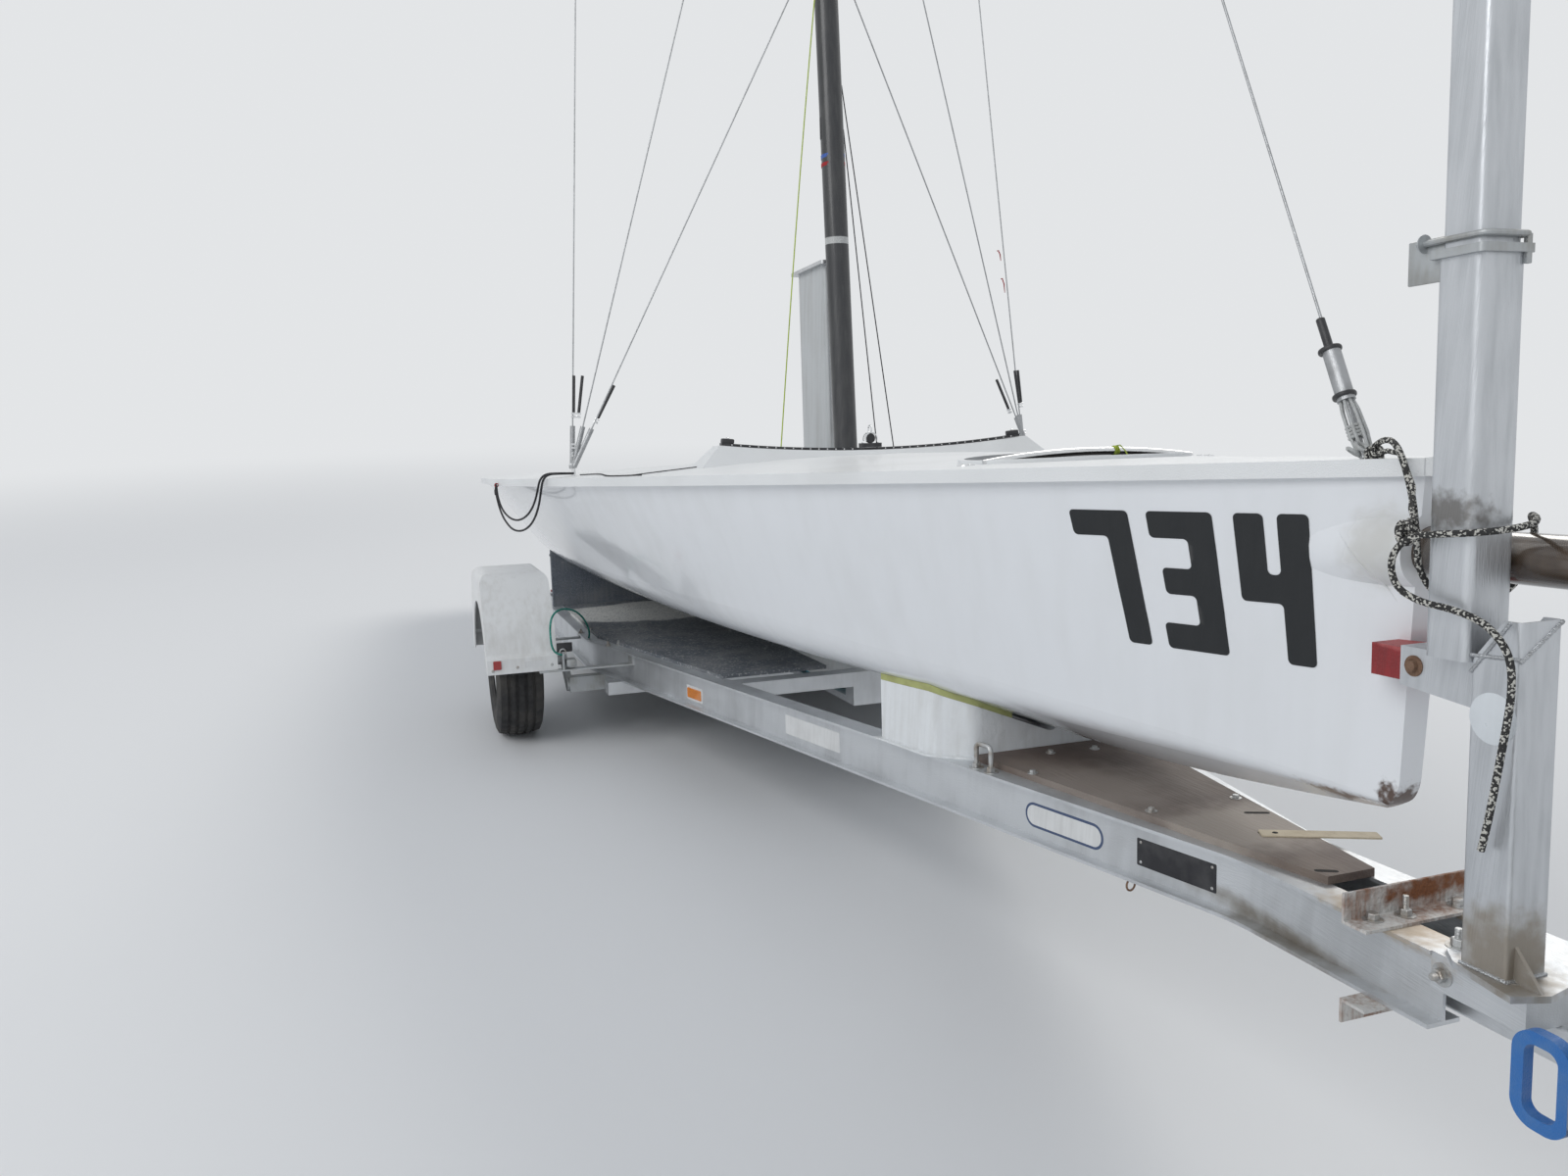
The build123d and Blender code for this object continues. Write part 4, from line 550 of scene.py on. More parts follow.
# Finish, scale, share and colour of each fleck
FLECKS = (
    ("fleck_braid", 330.0, 0.30, (0.62, 0.61, 0.56)),
    ("dark_braid", 480.0, 0.18, (0.07, 0.07, 0.08)),
    ("green_braid", 480.0, 0.25, (0.10, 0.42, 0.36)),
    ("floor_painted_shade", 150.0, 0.14, (0.30, 0.31, 0.315)),
    ("cradle_carpet", 420.0, 0.22, (0.22, 0.24, 0.27)),
)
for fleck_row in FLECKS:
    add_flecks(*fleck_row)

# The finish of each part of the frame
NODE_FINISHES = {
    "hull": "hull_white",
    "deck": "deck_white",
    "jib_moulding": "deck_white",
    "mast": "mast_black",
    "spreaders": "mast_black",
    "bowsprit": "pole_black",
    "jockey_tube": "jack_zinc",
    "jockey_leg": "jack_zinc",
}
SLOT_FINISHES = {}
for finish_name, finish_row in FINISHES.items():
    SLOT_FINISHES.setdefault(finish_row[0], finish_name)

for record_part in frame["record"]["subparts"]:
    part_name = record_part["node"]
    own_finish = NODE_FINISHES.get(part_name, SLOT_FINISHES[record_part["material_slot"]])
    part_mesh = frame["nodes"][part_name].data
    part_mesh.materials.clear()
    part_mesh.materials.append(MATERIALS[own_finish])


# The three loose ropes


def add_rope(name, route, radius, finish, node):
    """A rope through the route's points, in millimetres of the level frame."""
    places = [level(*(step / 1000 for step in place)) for place in route]
    curve = bpy.data.curves.new(name, "CURVE")
    curve.dimensions = "3D"
    curve.bevel_depth = radius
    curve.bevel_resolution = 3
    curve.resolution_u = 8
    curve.use_fill_caps = True
    spline = curve.splines.new("NURBS")
    spline.points.add(len(places) - 1)
    for point, place in zip(spline.points, places):
        point.co = (*place, 1)
    spline.order_u = 3
    spline.use_endpoint_u = True
    curve.materials.append(MATERIALS[finish])
    rope = bpy.data.objects.new(name, curve)
    bpy.context.scene.collection.objects.link(rope)
    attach(rope, "root")
    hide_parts(node)


BOW_ROPE = (
    (3344, -16, 804), (3362, -24, 822), (3396, -36, 837), (3440, -58, 833), (3478, -78, 800),
    (3500, -82, 745), (3502, -76, 690), (3496, -64, 638), (3506, -36, 594), (3532, 8, 580),
    (3558, 48, 604), (3576, 66, 652), (3592, 52, 702), (3614, 12, 726), (3648, -14, 722),
    (3669, -50, 716), (3669, -102, 711), (3650, -144, 708), (3610, -152, 705), (3562, -155, 700),
    (3531, -157, 668), (3540, -156, 624), (3582, -153, 606), (3635, -150, 602), (3686, -146, 588),
    (3720, -142, 550), (3722, -140, 494), (3711, -138, 430), (3700, -137, 362), (3690, -136, 305),
    (3682, -136, 268),
)
STERN_ROPE = (
    (656, -919, 786), (646, -964, 787), (631, -1004, 786), (621, -1024, 766), (606, -1030, 724),
    (566, -1036, 670), (494, -1045, 622), (402, -1056, 589), (290, -1068, 568), (168, -1079, 559),
    (48, -1089, 562), (-70, -1096, 578), (-170, -1102, 600), (-240, -1107, 630), (-280, -1111, 662),
    (-304, -1114, 694), (-303, -1115, 716), (-289, -1115, 733), (-267, -1115, 737),
    (-248, -1115, 727), (-230, -1114, 688), (-186, -1109, 650), (-118, -1101, 622),
    (-10, -1091, 605), (112, -1082, 600), (232, -1072, 606), (350, -1061, 624), (450, -1051, 652),
    (528, -1042, 692), (572, -1036, 736), (594, -1030, 768), (604, -1010, 787), (622, -968, 788),
    (640, -919, 786),
)
RAIL_CORD = (
    (400, -958, 88), (403, -984, 94), (412, -1000, 122), (422, -1004, 160), (418, -1004, 200),
    (398, -994, 236), (360, -970, 254), (292, -930, 254), (206, -874, 230), (120, -830, 186),
    (52, -802, 134), (-4, -790, 98), (-46, -788, 72),
)

add_camera()
add_rope("bow_line", BOW_ROPE, 0.005, "fleck_braid", "bow_rope")
add_rope("stern_line", STERN_ROPE, 0.004, "dark_braid", "stern_rope")
add_rope("guard_cord", RAIL_CORD, 0.004, "green_braid", "rail_cord")


# Mesh making

HEAD_EDGE = 0.85
HEAD_CROWN = 0.82
WASHER_REACH = 0.95
WASHER_EDGE, WASHER_THICK = 0.0016, 0.002
THREAD_RADIUS = 0.30
THREAD_ROOT = 0.84
THREAD_PITCH = 0.002


def shares(count):
    """The shares from 0 to 1 in count even steps."""
    return [step / count for step in range(count + 1)]


def points_between(start, end, count):
    return [start + (end - start) * share for share in shares(count)]


def arc_points(centre, first, second, radius, start, end, count):
    """Points on an arc from start to end degrees, in the plane of two directions."""
    points = []
    for share in shares(count - 1):
        turn = radians(start + (end - start) * share)
        points.append(Vector(centre) + (first * cos(turn) + second * sin(turn)) * radius)
    return points


def round_outline(length, height, radius, steps=5):
    """A rectangle with rounded corners, about its middle."""
    outline = []
    for corner, (side, rise) in enumerate(((1, 1), (-1, 1), (-1, -1), (1, -1))):
        for share in shares(steps):
            turn = (corner + share) * pi / 2
            x = side * (length / 2 - radius) + cos(turn) * radius
            z = rise * (height / 2 - radius) + sin(turn) * radius
            outline.append((x, z))
    return outline


def frame_about(axis):
    """Two directions square to axis and to each other."""
    axis = Vector(axis).normalized()
    across = axis.cross(UP if abs(axis.z) < 0.9 else AHEAD).normalized()
    return across, axis.cross(across)


def add_block(mesh, centre, size, right, up, bevel):
    """A block with eased edges, its length along right and its height along up."""
    right = Vector(right).normalized()
    up = Vector(up).normalized()
    turn = Matrix((right, up.cross(right), up)).transposed().to_4x4()
    place = Matrix.Translation(centre) @ turn @ Matrix.Diagonal((*size, 1))
    made = bmesh.ops.create_cube(mesh, size=1.0, matrix=place)
    edges = {edge for vertex in made["verts"] for edge in vertex.link_edges}
    bmesh.ops.bevel(mesh, geom=list(edges), offset=bevel, segments=2, affect="EDGES", profile=0.5)


def add_circle(mesh, centre, first, second, steps):
    """A ring of vertices round centre, with two half axes."""
    turns = [tau * step / steps for step in range(steps)]
    return [mesh.verts.new(centre + first * cos(turn) + second * sin(turn)) for turn in turns]


def join_rings(mesh, rings):
    """The faces between each ring and the next."""
    for lower, upper in zip(rings, rings[1:]):
        for step in range(len(lower)):
            after = (step + 1) % len(lower)
            mesh.faces.new((lower[step], lower[after], upper[after], upper[step]))


def add_lathe(mesh, centre, axis, profile, steps):
    """A turned shape: profile lists (distance along the axis, radius)."""
    axis = Vector(axis).normalized()
    first, second = frame_about(axis)
    rings = []
    for along, radius in profile:
        middle = Vector(centre) + axis * along
        if radius:
            rings.append(add_circle(mesh, middle, first * radius, second * radius, steps))
        else:
            rings.append([mesh.verts.new(middle)])
    for lower, upper in zip(rings, rings[1:]):
        for step in range(steps):
            after = (step + 1) % steps
            corners = [
                lower[step % len(lower)],
                lower[after % len(lower)],
                upper[after % len(upper)],
                upper[step % len(upper)],
            ]
            corners = [corner for index, corner in enumerate(corners) if corner not in corners[:index]]
            if len(corners) > 2:
                mesh.faces.new(corners)


def add_dome(mesh, place, axis, radius, crown_radius, crown_height, height, steps):
    """A low button: a foot of one radius, a crown of another and a shallow top."""
    profile = ((0, 0), (0, radius), (crown_height, crown_radius), (height, 0))
    add_lathe(mesh, place, axis, profile, steps)


def add_rod(mesh, start, end, radius, steps=14):
    """A rod with eased ends."""
    start, end = Vector(start), Vector(end)
    length = (end - start).length
    ease = min(radius * 0.2, length / 3)
    profile = (
        (0, 0), (0, radius - ease), (ease, radius),
        (length - ease, radius), (length, radius - ease), (length, 0),
    )
    add_lathe(mesh, start, end - start, profile, steps)


def add_tube(mesh, points, radius, steps=8, closed=False):
    """A tube along points, without twist; radius is a number or one for each point."""
    points = [Vector(point) for point in points]
    count = len(points)
    radii = radius if isinstance(radius, (list, tuple)) else [radius] * count
    rings = []
    across = None
    for index, point in enumerate(points):
        before = points[index - 1] if closed or index > 0 else point
        after = points[(index + 1) % count] if closed or index < count - 1 else point
        way = (after - before).normalized()
        if across is None:
            across = frame_about(way)[0]
        across = (across - way * across.dot(way)).normalized()
        out = across * radii[index]
        rings.append(add_circle(mesh, point, out, way.cross(out), steps))
    if closed:
        join_rings(mesh, rings + rings[:1])
    else:
        join_rings(mesh, rings)
        mesh.faces.new(list(reversed(rings[0])))
        mesh.faces.new(rings[-1])


def add_ring(mesh, centre, axis, radius, wire, steps=28, sides=8):
    """A closed ring of round wire."""
    last = 360 * (1 - 1 / steps)
    circle = arc_points(centre, *frame_about(axis), radius, 0, last, steps)
    add_tube(mesh, circle, wire, sides, True)


def add_plate(mesh, outline, place, right, up, thick, bevel=0.0004):
    """A flat plate: outline in metres along right and up, thick towards the front."""
    right = Vector(right).normalized()
    up = Vector(up).normalized()
    front = right.cross(up).normalized()
    base = [mesh.verts.new(Vector(place) + right * across + up * high) for across, high in outline]
    face = mesh.faces.new(base)
    grown = bmesh.ops.extrude_face_region(mesh, geom=[face])
    moved = [item for item in grown["geom"] if isinstance(item, bmesh.types.BMVert)]
    bmesh.ops.translate(mesh, verts=moved, vec=front * thick)
    if bevel:
        top = [item for item in grown["geom"] if isinstance(item, bmesh.types.BMFace)]
        edges = list({edge for item in top for edge in item.edges})
        bmesh.ops.bevel(mesh, geom=edges, offset=bevel, segments=1, affect="EDGES")


def add_bolt(mesh, place, axis, across, head, washer=True, stud=0.0):
    """A hexagon head on its washer, with stud metres of thread standing out of a nut."""
    low = 0.0
    if washer:
        reach = across * WASHER_REACH
        add_dome(mesh, place, axis, reach, reach, WASHER_EDGE, WASHER_THICK, 20)
        low = WASHER_THICK
    high = low + head
    edge = across / 2 / cos(pi / 6)
    profile = (
        (low, 0), (low, edge), (low + head * HEAD_EDGE, edge), (high, edge * HEAD_CROWN), (high, 0),
    )
    add_lathe(mesh, place, axis, profile, 6)
    if stud:
        thread = across * THREAD_RADIUS
        turns = int(stud / THREAD_PITCH)
        rod = [(high, 0)]
        for turn in range(turns):
            crest = high + turn * THREAD_PITCH
            rod.append((crest, thread))
            rod.append((crest + THREAD_PITCH / 2, thread * THREAD_ROOT))
        rod.append((high + turns * THREAD_PITCH, 0))
        add_lathe(mesh, place, axis, rod, 12)


def add_u_bolt(mesh, crown, across, legs, half, wire):
    """A bent rod with two legs, each half off the crown's middle."""
    across = Vector(across).normalized()
    legs = Vector(legs)
    way = legs.normalized()
    bend = wire * 2.2
    left = Vector(crown) - across * half
    right = Vector(crown) + across * half
    points = [left + legs]
    points += arc_points(left + across * bend + way * bend, -across, -way, bend, 0, 90, 6)
    points += arc_points(right - across * bend + way * bend, -way, across, bend, 0, 90, 6)
    points.append(right + legs)
    add_tube(mesh, points, wire, 10)


def finish_piece(name, mesh, finish, body="root", sharp=32):
    """The mesh laid into the parked frame, with its finish, on its body."""
    bmesh.ops.transform(mesh, matrix=LEVEL, verts=mesh.verts)
    bmesh.ops.recalc_face_normals(mesh, faces=mesh.faces)
    for face in mesh.faces:
        face.smooth = True
    for edge in mesh.edges:
        if len(edge.link_faces) == 2 and edge.calc_face_angle(0) > radians(sharp):
            edge.smooth = False
    data = bpy.data.meshes.new(name)
    mesh.to_mesh(data)
    mesh.free()
    data.materials.append(MATERIALS[finish])
    piece = bpy.data.objects.new(name, data)
    bpy.context.scene.collection.objects.link(piece)
    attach(piece, body)
    return piece


# Seating on the frame's parts

TREES = {}


def touch(node, start, way):
    """Where a line first meets a part, in the level frame, and the surface's direction there."""
    if node not in TREES:
        data = frame["nodes"][node].data
        points = [UNLEVEL @ vertex.co for vertex in data.vertices]
        TREES[node] = BVHTree.FromPolygons(points, [tuple(face.vertices) for face in data.polygons])
    way = Vector(way).normalized()
    place, normal = TREES[node].ray_cast(Vector(start), way)[:2]
    if place is None:
        raise ValueError(f"nothing of {node} at {start}")
    if normal.dot(way) > 0:
        normal = -normal
    return place, normal


def on_top(node, x, y, above=2.2):
    return touch(node, (x, y, above), -UP)


def on_side(node, x, z, side):
    return touch(node, (x, side * 1.6, z), (0, -side, 0))


def rail_y(x):
    """How far a rail stands from the middle: even behind its bend, and nearer towards the nose."""
    return RAIL_BEND[1] - max(0, x - RAIL_BEND[0]) * RAIL_SLOPE


def rail_way(side):
    """The direction of a front rail, towards the nose."""
    return Vector((1, -side * RAIL_SLOPE, 0)).normalized()


# The bow numerals, plain block figures

FIGURE_HIGH = 0.262
FIGURE_WIDE = 0.122
STROKE = 0.050
STEM = FIGURE_WIDE - STROKE
TOP_BAR = FIGURE_HIGH - STROKE
BAR = TOP_BAR / 2
BAR_TOP = BAR + STROKE
TOOTH = 0.014
FIGURES = {
    "seven": (
        (0, FIGURE_HIGH), (FIGURE_WIDE, FIGURE_HIGH), (FIGURE_WIDE, 0), (STEM, 0),
        (STEM, TOP_BAR), (0, TOP_BAR),
    ),
    "three": (
        (0, FIGURE_HIGH), (FIGURE_WIDE, FIGURE_HIGH), (FIGURE_WIDE, 0), (0, 0), (0, STROKE),
        (STEM, STROKE), (STEM, BAR), (TOOTH, BAR), (TOOTH, BAR_TOP), (STEM, BAR_TOP),
        (STEM, TOP_BAR), (0, TOP_BAR),
    ),
    "four": (
        (0, FIGURE_HIGH), (STROKE, FIGURE_HIGH), (STROKE, BAR_TOP), (STEM, BAR_TOP),
        (STEM, FIGURE_HIGH), (FIGURE_WIDE, FIGURE_HIGH), (FIGURE_WIDE, 0), (STEM, 0),
        (STEM, BAR), (0, BAR),
    ),
}
BOW_NUMBER = ("seven", "three", "four")
FIGURE_GAP = 0.036
NUMBER_AFT, NUMBER_FORE, NUMBER_LOW = 2.866, 3.294, 0.454
FACET = 0.010
FILM = 0.0009


def make_numerals(side):
    """Flat film figures laid on the hull's side."""
    mesh = bmesh.new()
    for place, figure in enumerate(BOW_NUMBER):
        shift = place * (FIGURE_WIDE + FIGURE_GAP)
        corners = []
        for across, high in FIGURES[figure]:
            x = NUMBER_AFT + shift + across if side < 0 else NUMBER_FORE - shift - across
            corners.append(mesh.verts.new((x, 0, NUMBER_LOW + high)))
        mesh.faces.new(corners)
    rounding = {"offset": 0.009, "segments": 5, "profile": 0.5, "affect": "VERTICES"}
    bmesh.ops.bevel(mesh, geom=list(mesh.verts), **rounding)
    bmesh.ops.triangulate(mesh, faces=list(mesh.faces))
    cuts = [((NUMBER_AFT + step * FACET, 0, 0), AHEAD) for step in range(1, 46)]
    cuts += [((0, 0, NUMBER_LOW + step * FACET), UP) for step in range(1, 27)]
    for place, way in cuts:
        parts = mesh.verts[:] + mesh.edges[:] + mesh.faces[:]
        bmesh.ops.bisect_plane(mesh, geom=parts, plane_co=place, plane_no=way)
    for vertex in mesh.verts:
        spot, normal = on_side("hull", vertex.co.x, vertex.co.z, side)
        vertex.co = spot + normal * FILM
    finish_piece("numerals_" + SIDE_NAMES[side], mesh, "numeral_black", sharp=80)


def make_crease(side):
    """The fine moulded line of the pole's fairing in the bow."""
    mesh = bmesh.new()
    points = []
    radii = []
    for share in shares(12):
        swell = sin(share * pi)
        x = 3.352 + 0.078 * share + 0.004 * swell
        spot, normal = on_side("hull", x, 0.690 - 0.110 * share, side)
        points.append(spot + normal * 0.0002)
        radii.append(0.0004 + 0.0013 * swell)
    add_tube(mesh, points, radii)
    finish_piece("bow_crease_" + SIDE_NAMES[side], mesh, "hull_white")


# Deck fittings

DOT_PITCH = 0.0295
CAR_Y = -0.02


def make_track_dots():
    """White hole plugs along the jib track, its end stops and its screws."""
    dots = bmesh.new()
    stops = bmesh.new()
    screws = bmesh.new()
    for step in range(-17, 18):
        y = step * DOT_PITCH
        if abs(y - CAR_Y) < 0.045:
            continue
        top, normal = on_top("jib_track", TRACK_X, y)
        front, facing = touch("jib_track", (TRACK_X + 0.2, y, top.z - 0.004), -AHEAD)
        for place, way in ((top, normal), (front, facing)):
            add_dome(dots, place - way * 0.001, way, 0.0025, 0.0022, 0.0014, 0.0016, 14)
    for side in SIDES:
        spot, normal = on_top("jib_track", TRACK_X, side * (TRACK_HALF - 0.022))
        slope = PORT - normal * PORT.dot(normal)
        add_block(stops, spot + normal * 0.007, (0.040, 0.026, 0.016), slope, normal, 0.004)
        add_bolt(screws, spot + normal * 0.015, normal, 0.010, 0.004, False)
    finish_piece("track_dots", dots, "dome_white")
    finish_piece("track_stops", stops, "black_moulding")
    finish_piece("track_screws", screws, "polished_steel")


def make_car_fittings():
    """The jib car's bail over its sheave, the ring on it and the screws."""
    spot = on_top("jib_car", TRACK_X, CAR_Y)[0]
    steel = bmesh.new()
    for ahead in (-0.011, 0.011):
        bail = arc_points(spot + Vector((ahead, 0, -0.018)), PORT, UP, 0.0205, -20, 200, 17)
        add_tube(steel, bail, 0.0022)
    add_ring(steel, spot + UP * 0.013, PORT, 0.013, 0.0024)
    for side in SIDES:
        add_bolt(steel, *on_top("jib_car", TRACK_X, CAR_Y + side * 0.027), 0.008, 0.003, False)
    finish_piece("car_bail", steel, "polished_steel")


def make_chute_shade():
    """A black sheet down inside the spinnaker chute's mouth: painted shade in the hole."""
    mesh = bmesh.new()
    top = on_top("deck", CHUTE_X + CHUTE_HALF_LENGTH + 0.05, 0.0)[0].z
    low = on_top("hull", CHUTE_X, 0.0)[0].z
    steps = ((0.982, top - 0.004), (0.980, top - 0.030), (0.975, low + 0.0025), (0.60, low + 0.0015))
    rings = []
    for share, z in steps:
        length = AHEAD * (CHUTE_HALF_LENGTH - 0.002) * share
        width = PORT * (CHUTE_HALF_WIDTH - 0.002) * share
        rings.append(add_circle(mesh, Vector((CHUTE_X, 0, z)), length, width, 56))
    join_rings(mesh, rings)
    mesh.faces.new(rings[-1])
    finish_piece("chute_painted_shade", mesh, "slot_shadow")


def make_hoop_fittings():
    """Feet and screws of the chute's bent tube, and the lime tie on it."""
    steel = bmesh.new()
    hoop_x = CHUTE_X + 0.060
    foot = ((0, 0), (0, 0.021), (0.002, 0.020), (0.003, 0.012), (0.003, 0))
    for side in SIDES:
        spot, normal = on_top("deck", hoop_x, side * (CHUTE_HALF_WIDTH + 0.040))
        add_lathe(steel, spot, normal, foot, 24)
        for turn in SIDES:
            place = spot + AHEAD * 0.014 * turn + normal * 0.002
            add_dome(steel, place, normal, 0.0035, 0.002, 0.0016, 0.0018, 12)
    finish_piece("hoop_feet", steel, "polished_steel")
    tie = bmesh.new()
    spot, normal = on_top("chute_hoop", hoop_x, 0.068)
    for across in (-0.004, 0.0, 0.004):
        add_ring(tie, spot + Vector((0, across, -0.009)), PORT, 0.0108, 0.0017, 20, 6)
    tail = ((0.002, 0, 0.002), (0.010, 0.006, 0.004), (0.020, 0.014, -0.010), (0.024, 0.018, -0.022))
    add_tube(tie, [spot + Vector(step) for step in tail], 0.0015, 6)
    finish_piece("hoop_tie", tie, "lime_line")


def make_side_eyes():
    """Deck eyes by the shrouds, each with a thin shock cord to the lip."""
    eyes = bmesh.new()
    cords = bmesh.new()
    eye_x = 1.25
    for side in SIDES:
        spot, normal = on_top("deck", eye_x, side * 0.565)
        add_block(eyes, spot + normal * 0.003, (0.040, 0.018, 0.007), AHEAD, normal, 0.003)
        add_tube(eyes, arc_points(spot + normal * 0.004, AHEAD, normal, 0.011, 0, 180, 11), 0.003)
        points = []
        for share in shares(14):
            y = side * (0.572 + 0.273 * share)
            place, facing = on_top("deck", eye_x + 0.02 * sin(share * pi), y)
            points.append(place + facing * (0.0022 if 0 < share < 1 else 0.004))
        add_tube(cords, points, 0.0018, 6)
    finish_piece("side_eyes", eyes, "black_moulding")
    finish_piece("shock_cords", cords, "dark_braid")


def make_shroud_fittings():
    """Lock nuts, pins, split rings, the small tag and the adjuster's line at each chainplate."""
    steel = bmesh.new()
    black = bmesh.new()
    for side in SIDES:
        foot = shroud_foot(side)
        spreader_tip = mast_point(3.12) + Vector((-0.38, side * 0.70, 0))
        for target in (mast_point(1.72), mast_point(HOUNDS), spreader_tip):
            way = (target - foot).normalized()
            start = foot + way * 0.03 + UP * 0.004
            for along in (0.040, 0.052, 0.150, 0.162):
                add_bolt(steel, start + way * along, way, 0.015, 0.007, False)
            add_ring(steel, start + way * 0.020, AHEAD, 0.008, 0.0014, 18, 6)
            add_rod(black, start + way * 0.168, start + way * 0.300, 0.0055, 12)
        pin = foot + Vector((0, side * 0.008, 0.018))
        add_rod(steel, pin - AHEAD * 0.024, pin + AHEAD * 0.024, 0.004)
        for ahead in (-0.020, 0.020):
            place = foot + Vector((ahead, side * 0.010, 0.012))
            add_ring(steel, place, PORT, 0.009, 0.0012, 18, 6)
    finish_piece("shroud_screws", steel, "polished_steel")
    finish_piece("shroud_boots", black, "black_moulding")
    tag = bmesh.new()
    add_block(tag, (0.610, -0.905, 0.890), (0.034, 0.003, 0.018), AHEAD, UP, 0.001)
    finish_piece("shroud_tag", tag, "plain_label")
    line = bmesh.new()
    for side in SIDES:
        points = []
        for share in shares(24):
            y = side * (0.900 - 0.02 * sin(share * 7) - 0.08 * share)
            place, facing = on_top("deck", 0.70 + 0.62 * share, y)
            points.append(place + facing * 0.0024)
        add_tube(line, points, 0.0022, 6)
    finish_piece("adjuster_lines", line, "dark_braid")


RIVET_HEIGHTS = (
    0.07, 0.10, 1.08, 1.22, 1.37, 1.70, 1.74, 1.98, 2.12, 3.10, 3.14, 5.96, 6.0, 6.04,
)
TAPES = (
    ("mast_tape_red", 1.018, "red_lashing"),
    ("mast_tape_blue", 1.046, "blue_tape"),
)


def make_mast_fittings():
    """Sail track, halyard exits, rivets and tapes of the mast."""
    black = bmesh.new()
    for side in SIDES:
        low = mast_point(0.12, -MAST_RADIUS - 0.002, side * 0.005)
        high = mast_point(7.9, -MAST_RADIUS - 0.002, side * 0.005)
        add_tube(black, points_between(low, high, 8), 0.0035, 6)
    inset = MAST_RADIUS - 0.001
    for height, facing, right in ((1.15, -PORT, AHEAD), (1.30, PORT, AHEAD), (2.05, AHEAD, PORT)):
        place = mast_point(height) + facing * (inset + 0.0005)
        add_block(black, place, (0.013, 0.004, 0.075), right, UP, 0.0019)
    finish_piece("mast_exits", black, "black_moulding")
    rivets = bmesh.new()
    for height in RIVET_HEIGHTS:
        for turn in (35, 145, 215, 325):
            facing = Vector((cos(radians(turn)), sin(radians(turn)), 0))
            place = mast_point(height) + facing * (MAST_RADIUS - 0.0004)
            add_dome(rivets, place, facing, 0.0032, 0.0022, 0.0012, 0.0014, 10)
    finish_piece("mast_rivets", rivets, "polished_steel")
    axis = mast_point(2) - mast_point(1)
    profile = [(0, 0), (0.001, 0.0009), (0.013, 0.0011), (0.014, 0)]
    for label, height, finish in TAPES:
        tape = bmesh.new()
        wrap = [(along, MAST_RADIUS + proud) for along, proud in profile]
        add_lathe(tape, mast_point(height), axis, wrap, 40)
        finish_piece(label, tape, finish)


def make_halyards():
    """The lime halyard with its slack turns on deck, and the two dark ones."""
    lime = bmesh.new()
    low, normal = on_top("deck", 0.93, -0.225)
    high = mast_point(2.05, MAST_RADIUS + 0.004, 0.012)
    sway = Vector((0.010, -0.012, 0))
    points = []
    for share in shares(16):
        points.append(low + normal * 0.004 + (high - low) * share + sway * sin(share * pi))
    add_tube(lime, points, 0.0022, 6)
    for step in range(3):
        add_ring(lime, low + UP * (0.006 + step * 0.004), UP, 0.009, 0.0020, 18, 6)
    finish_piece("lime_halyard", lime, "lime_line")
    dark = bmesh.new()
    for x, y, height in ((0.955, 0.205, 1.30), (0.905, 0.160, 1.15)):
        low = on_top("deck", x, y)[0]
        high = mast_point(height, 0.0, MAST_RADIUS + 0.003)
        add_tube(dark, points_between(low, high, 8), 0.0022, 6)
        add_ring(dark, low + UP * 0.007, UP, 0.008, 0.0022, 18, 6)
    finish_piece("dark_halyards", dark, "dark_braid")


def make_tell_tales():
    """Small red ribbons tied to the port shroud."""
    mesh = bmesh.new()
    foot = shroud_foot(1)
    way = mast_point(HOUNDS) - foot
    for share, drop in ((0.115, 0.055), (0.133, 0.040)):
        place = foot + way * share
        add_ring(mesh, place, way, 0.0035, 0.0016, 14, 6)
        ribbon = ((0.003, 0, 0), (0.010, 0.004, -drop * 0.4), (0.008, 0.008, -drop))
        add_tube(mesh, [place + Vector(step) for step in ribbon], [0.0022, 0.0026, 0.0014], 5)
    finish_piece("tell_tales", mesh, "red_lashing")


STAY_KNOTS = ((0, 0, 0.010), (0.016, 0.009, 0.014), (-0.013, -0.011, 0.012), (0.010, -0.016, 0.020))
BOW_KNOTS = ((3.536, -0.140, 0.706, 0.2), (3.548, -0.146, 0.698, -0.3), (3.556, -0.141, 0.711, 0.5))


def make_stay_lashing():
    """The clear line's turns between the forestay's drum and the deck, with its knots."""
    turns = bmesh.new()
    foot = on_top("deck", STAY_FOOT_X, 0.0)[0]
    way = (mast_point(HOUNDS) - foot).normalized()
    across, other = frame_about(way)
    for index in range(7):
        turn = tau * index / 7
        out = across * cos(turn) + other * sin(turn)
        low = foot + UP * 0.012 + out * 0.011
        high = foot + way * 0.118 + out * 0.008
        bulge = out * 0.004
        rise = high - low
        strand = [low, low + rise * 0.3 + bulge, low + rise * 0.7 + bulge, high]
        add_tube(turns, strand, 0.0028, 6)
    for index, knot in enumerate(STAY_KNOTS):
        lean = (0.3 * index - 0.4, 1 - 0.3 * index, 0.6)
        add_ring(turns, foot + Vector(knot), lean, 0.011, 0.0030, 18, 6)
    for index in range(4):
        add_ring(turns, foot + way * (0.040 + 0.006 * index), way, 0.0125, 0.0026, 20, 6)
    finish_piece("stay_lashing", turns, "clear_line")
    drum = bmesh.new()
    flange = ((0, 0), (0, 0.0185), (0.002, 0.0195), (0.005, 0.0195), (0.007, 0.0185), (0.007, 0))
    for along in (0.112, 0.198):
        add_lathe(drum, foot + way * along, way, flange, 28)
    add_rod(drum, foot + way * 0.205, foot + way * 0.262, 0.0075)
    finish_piece("stay_drum", drum, "black_moulding")


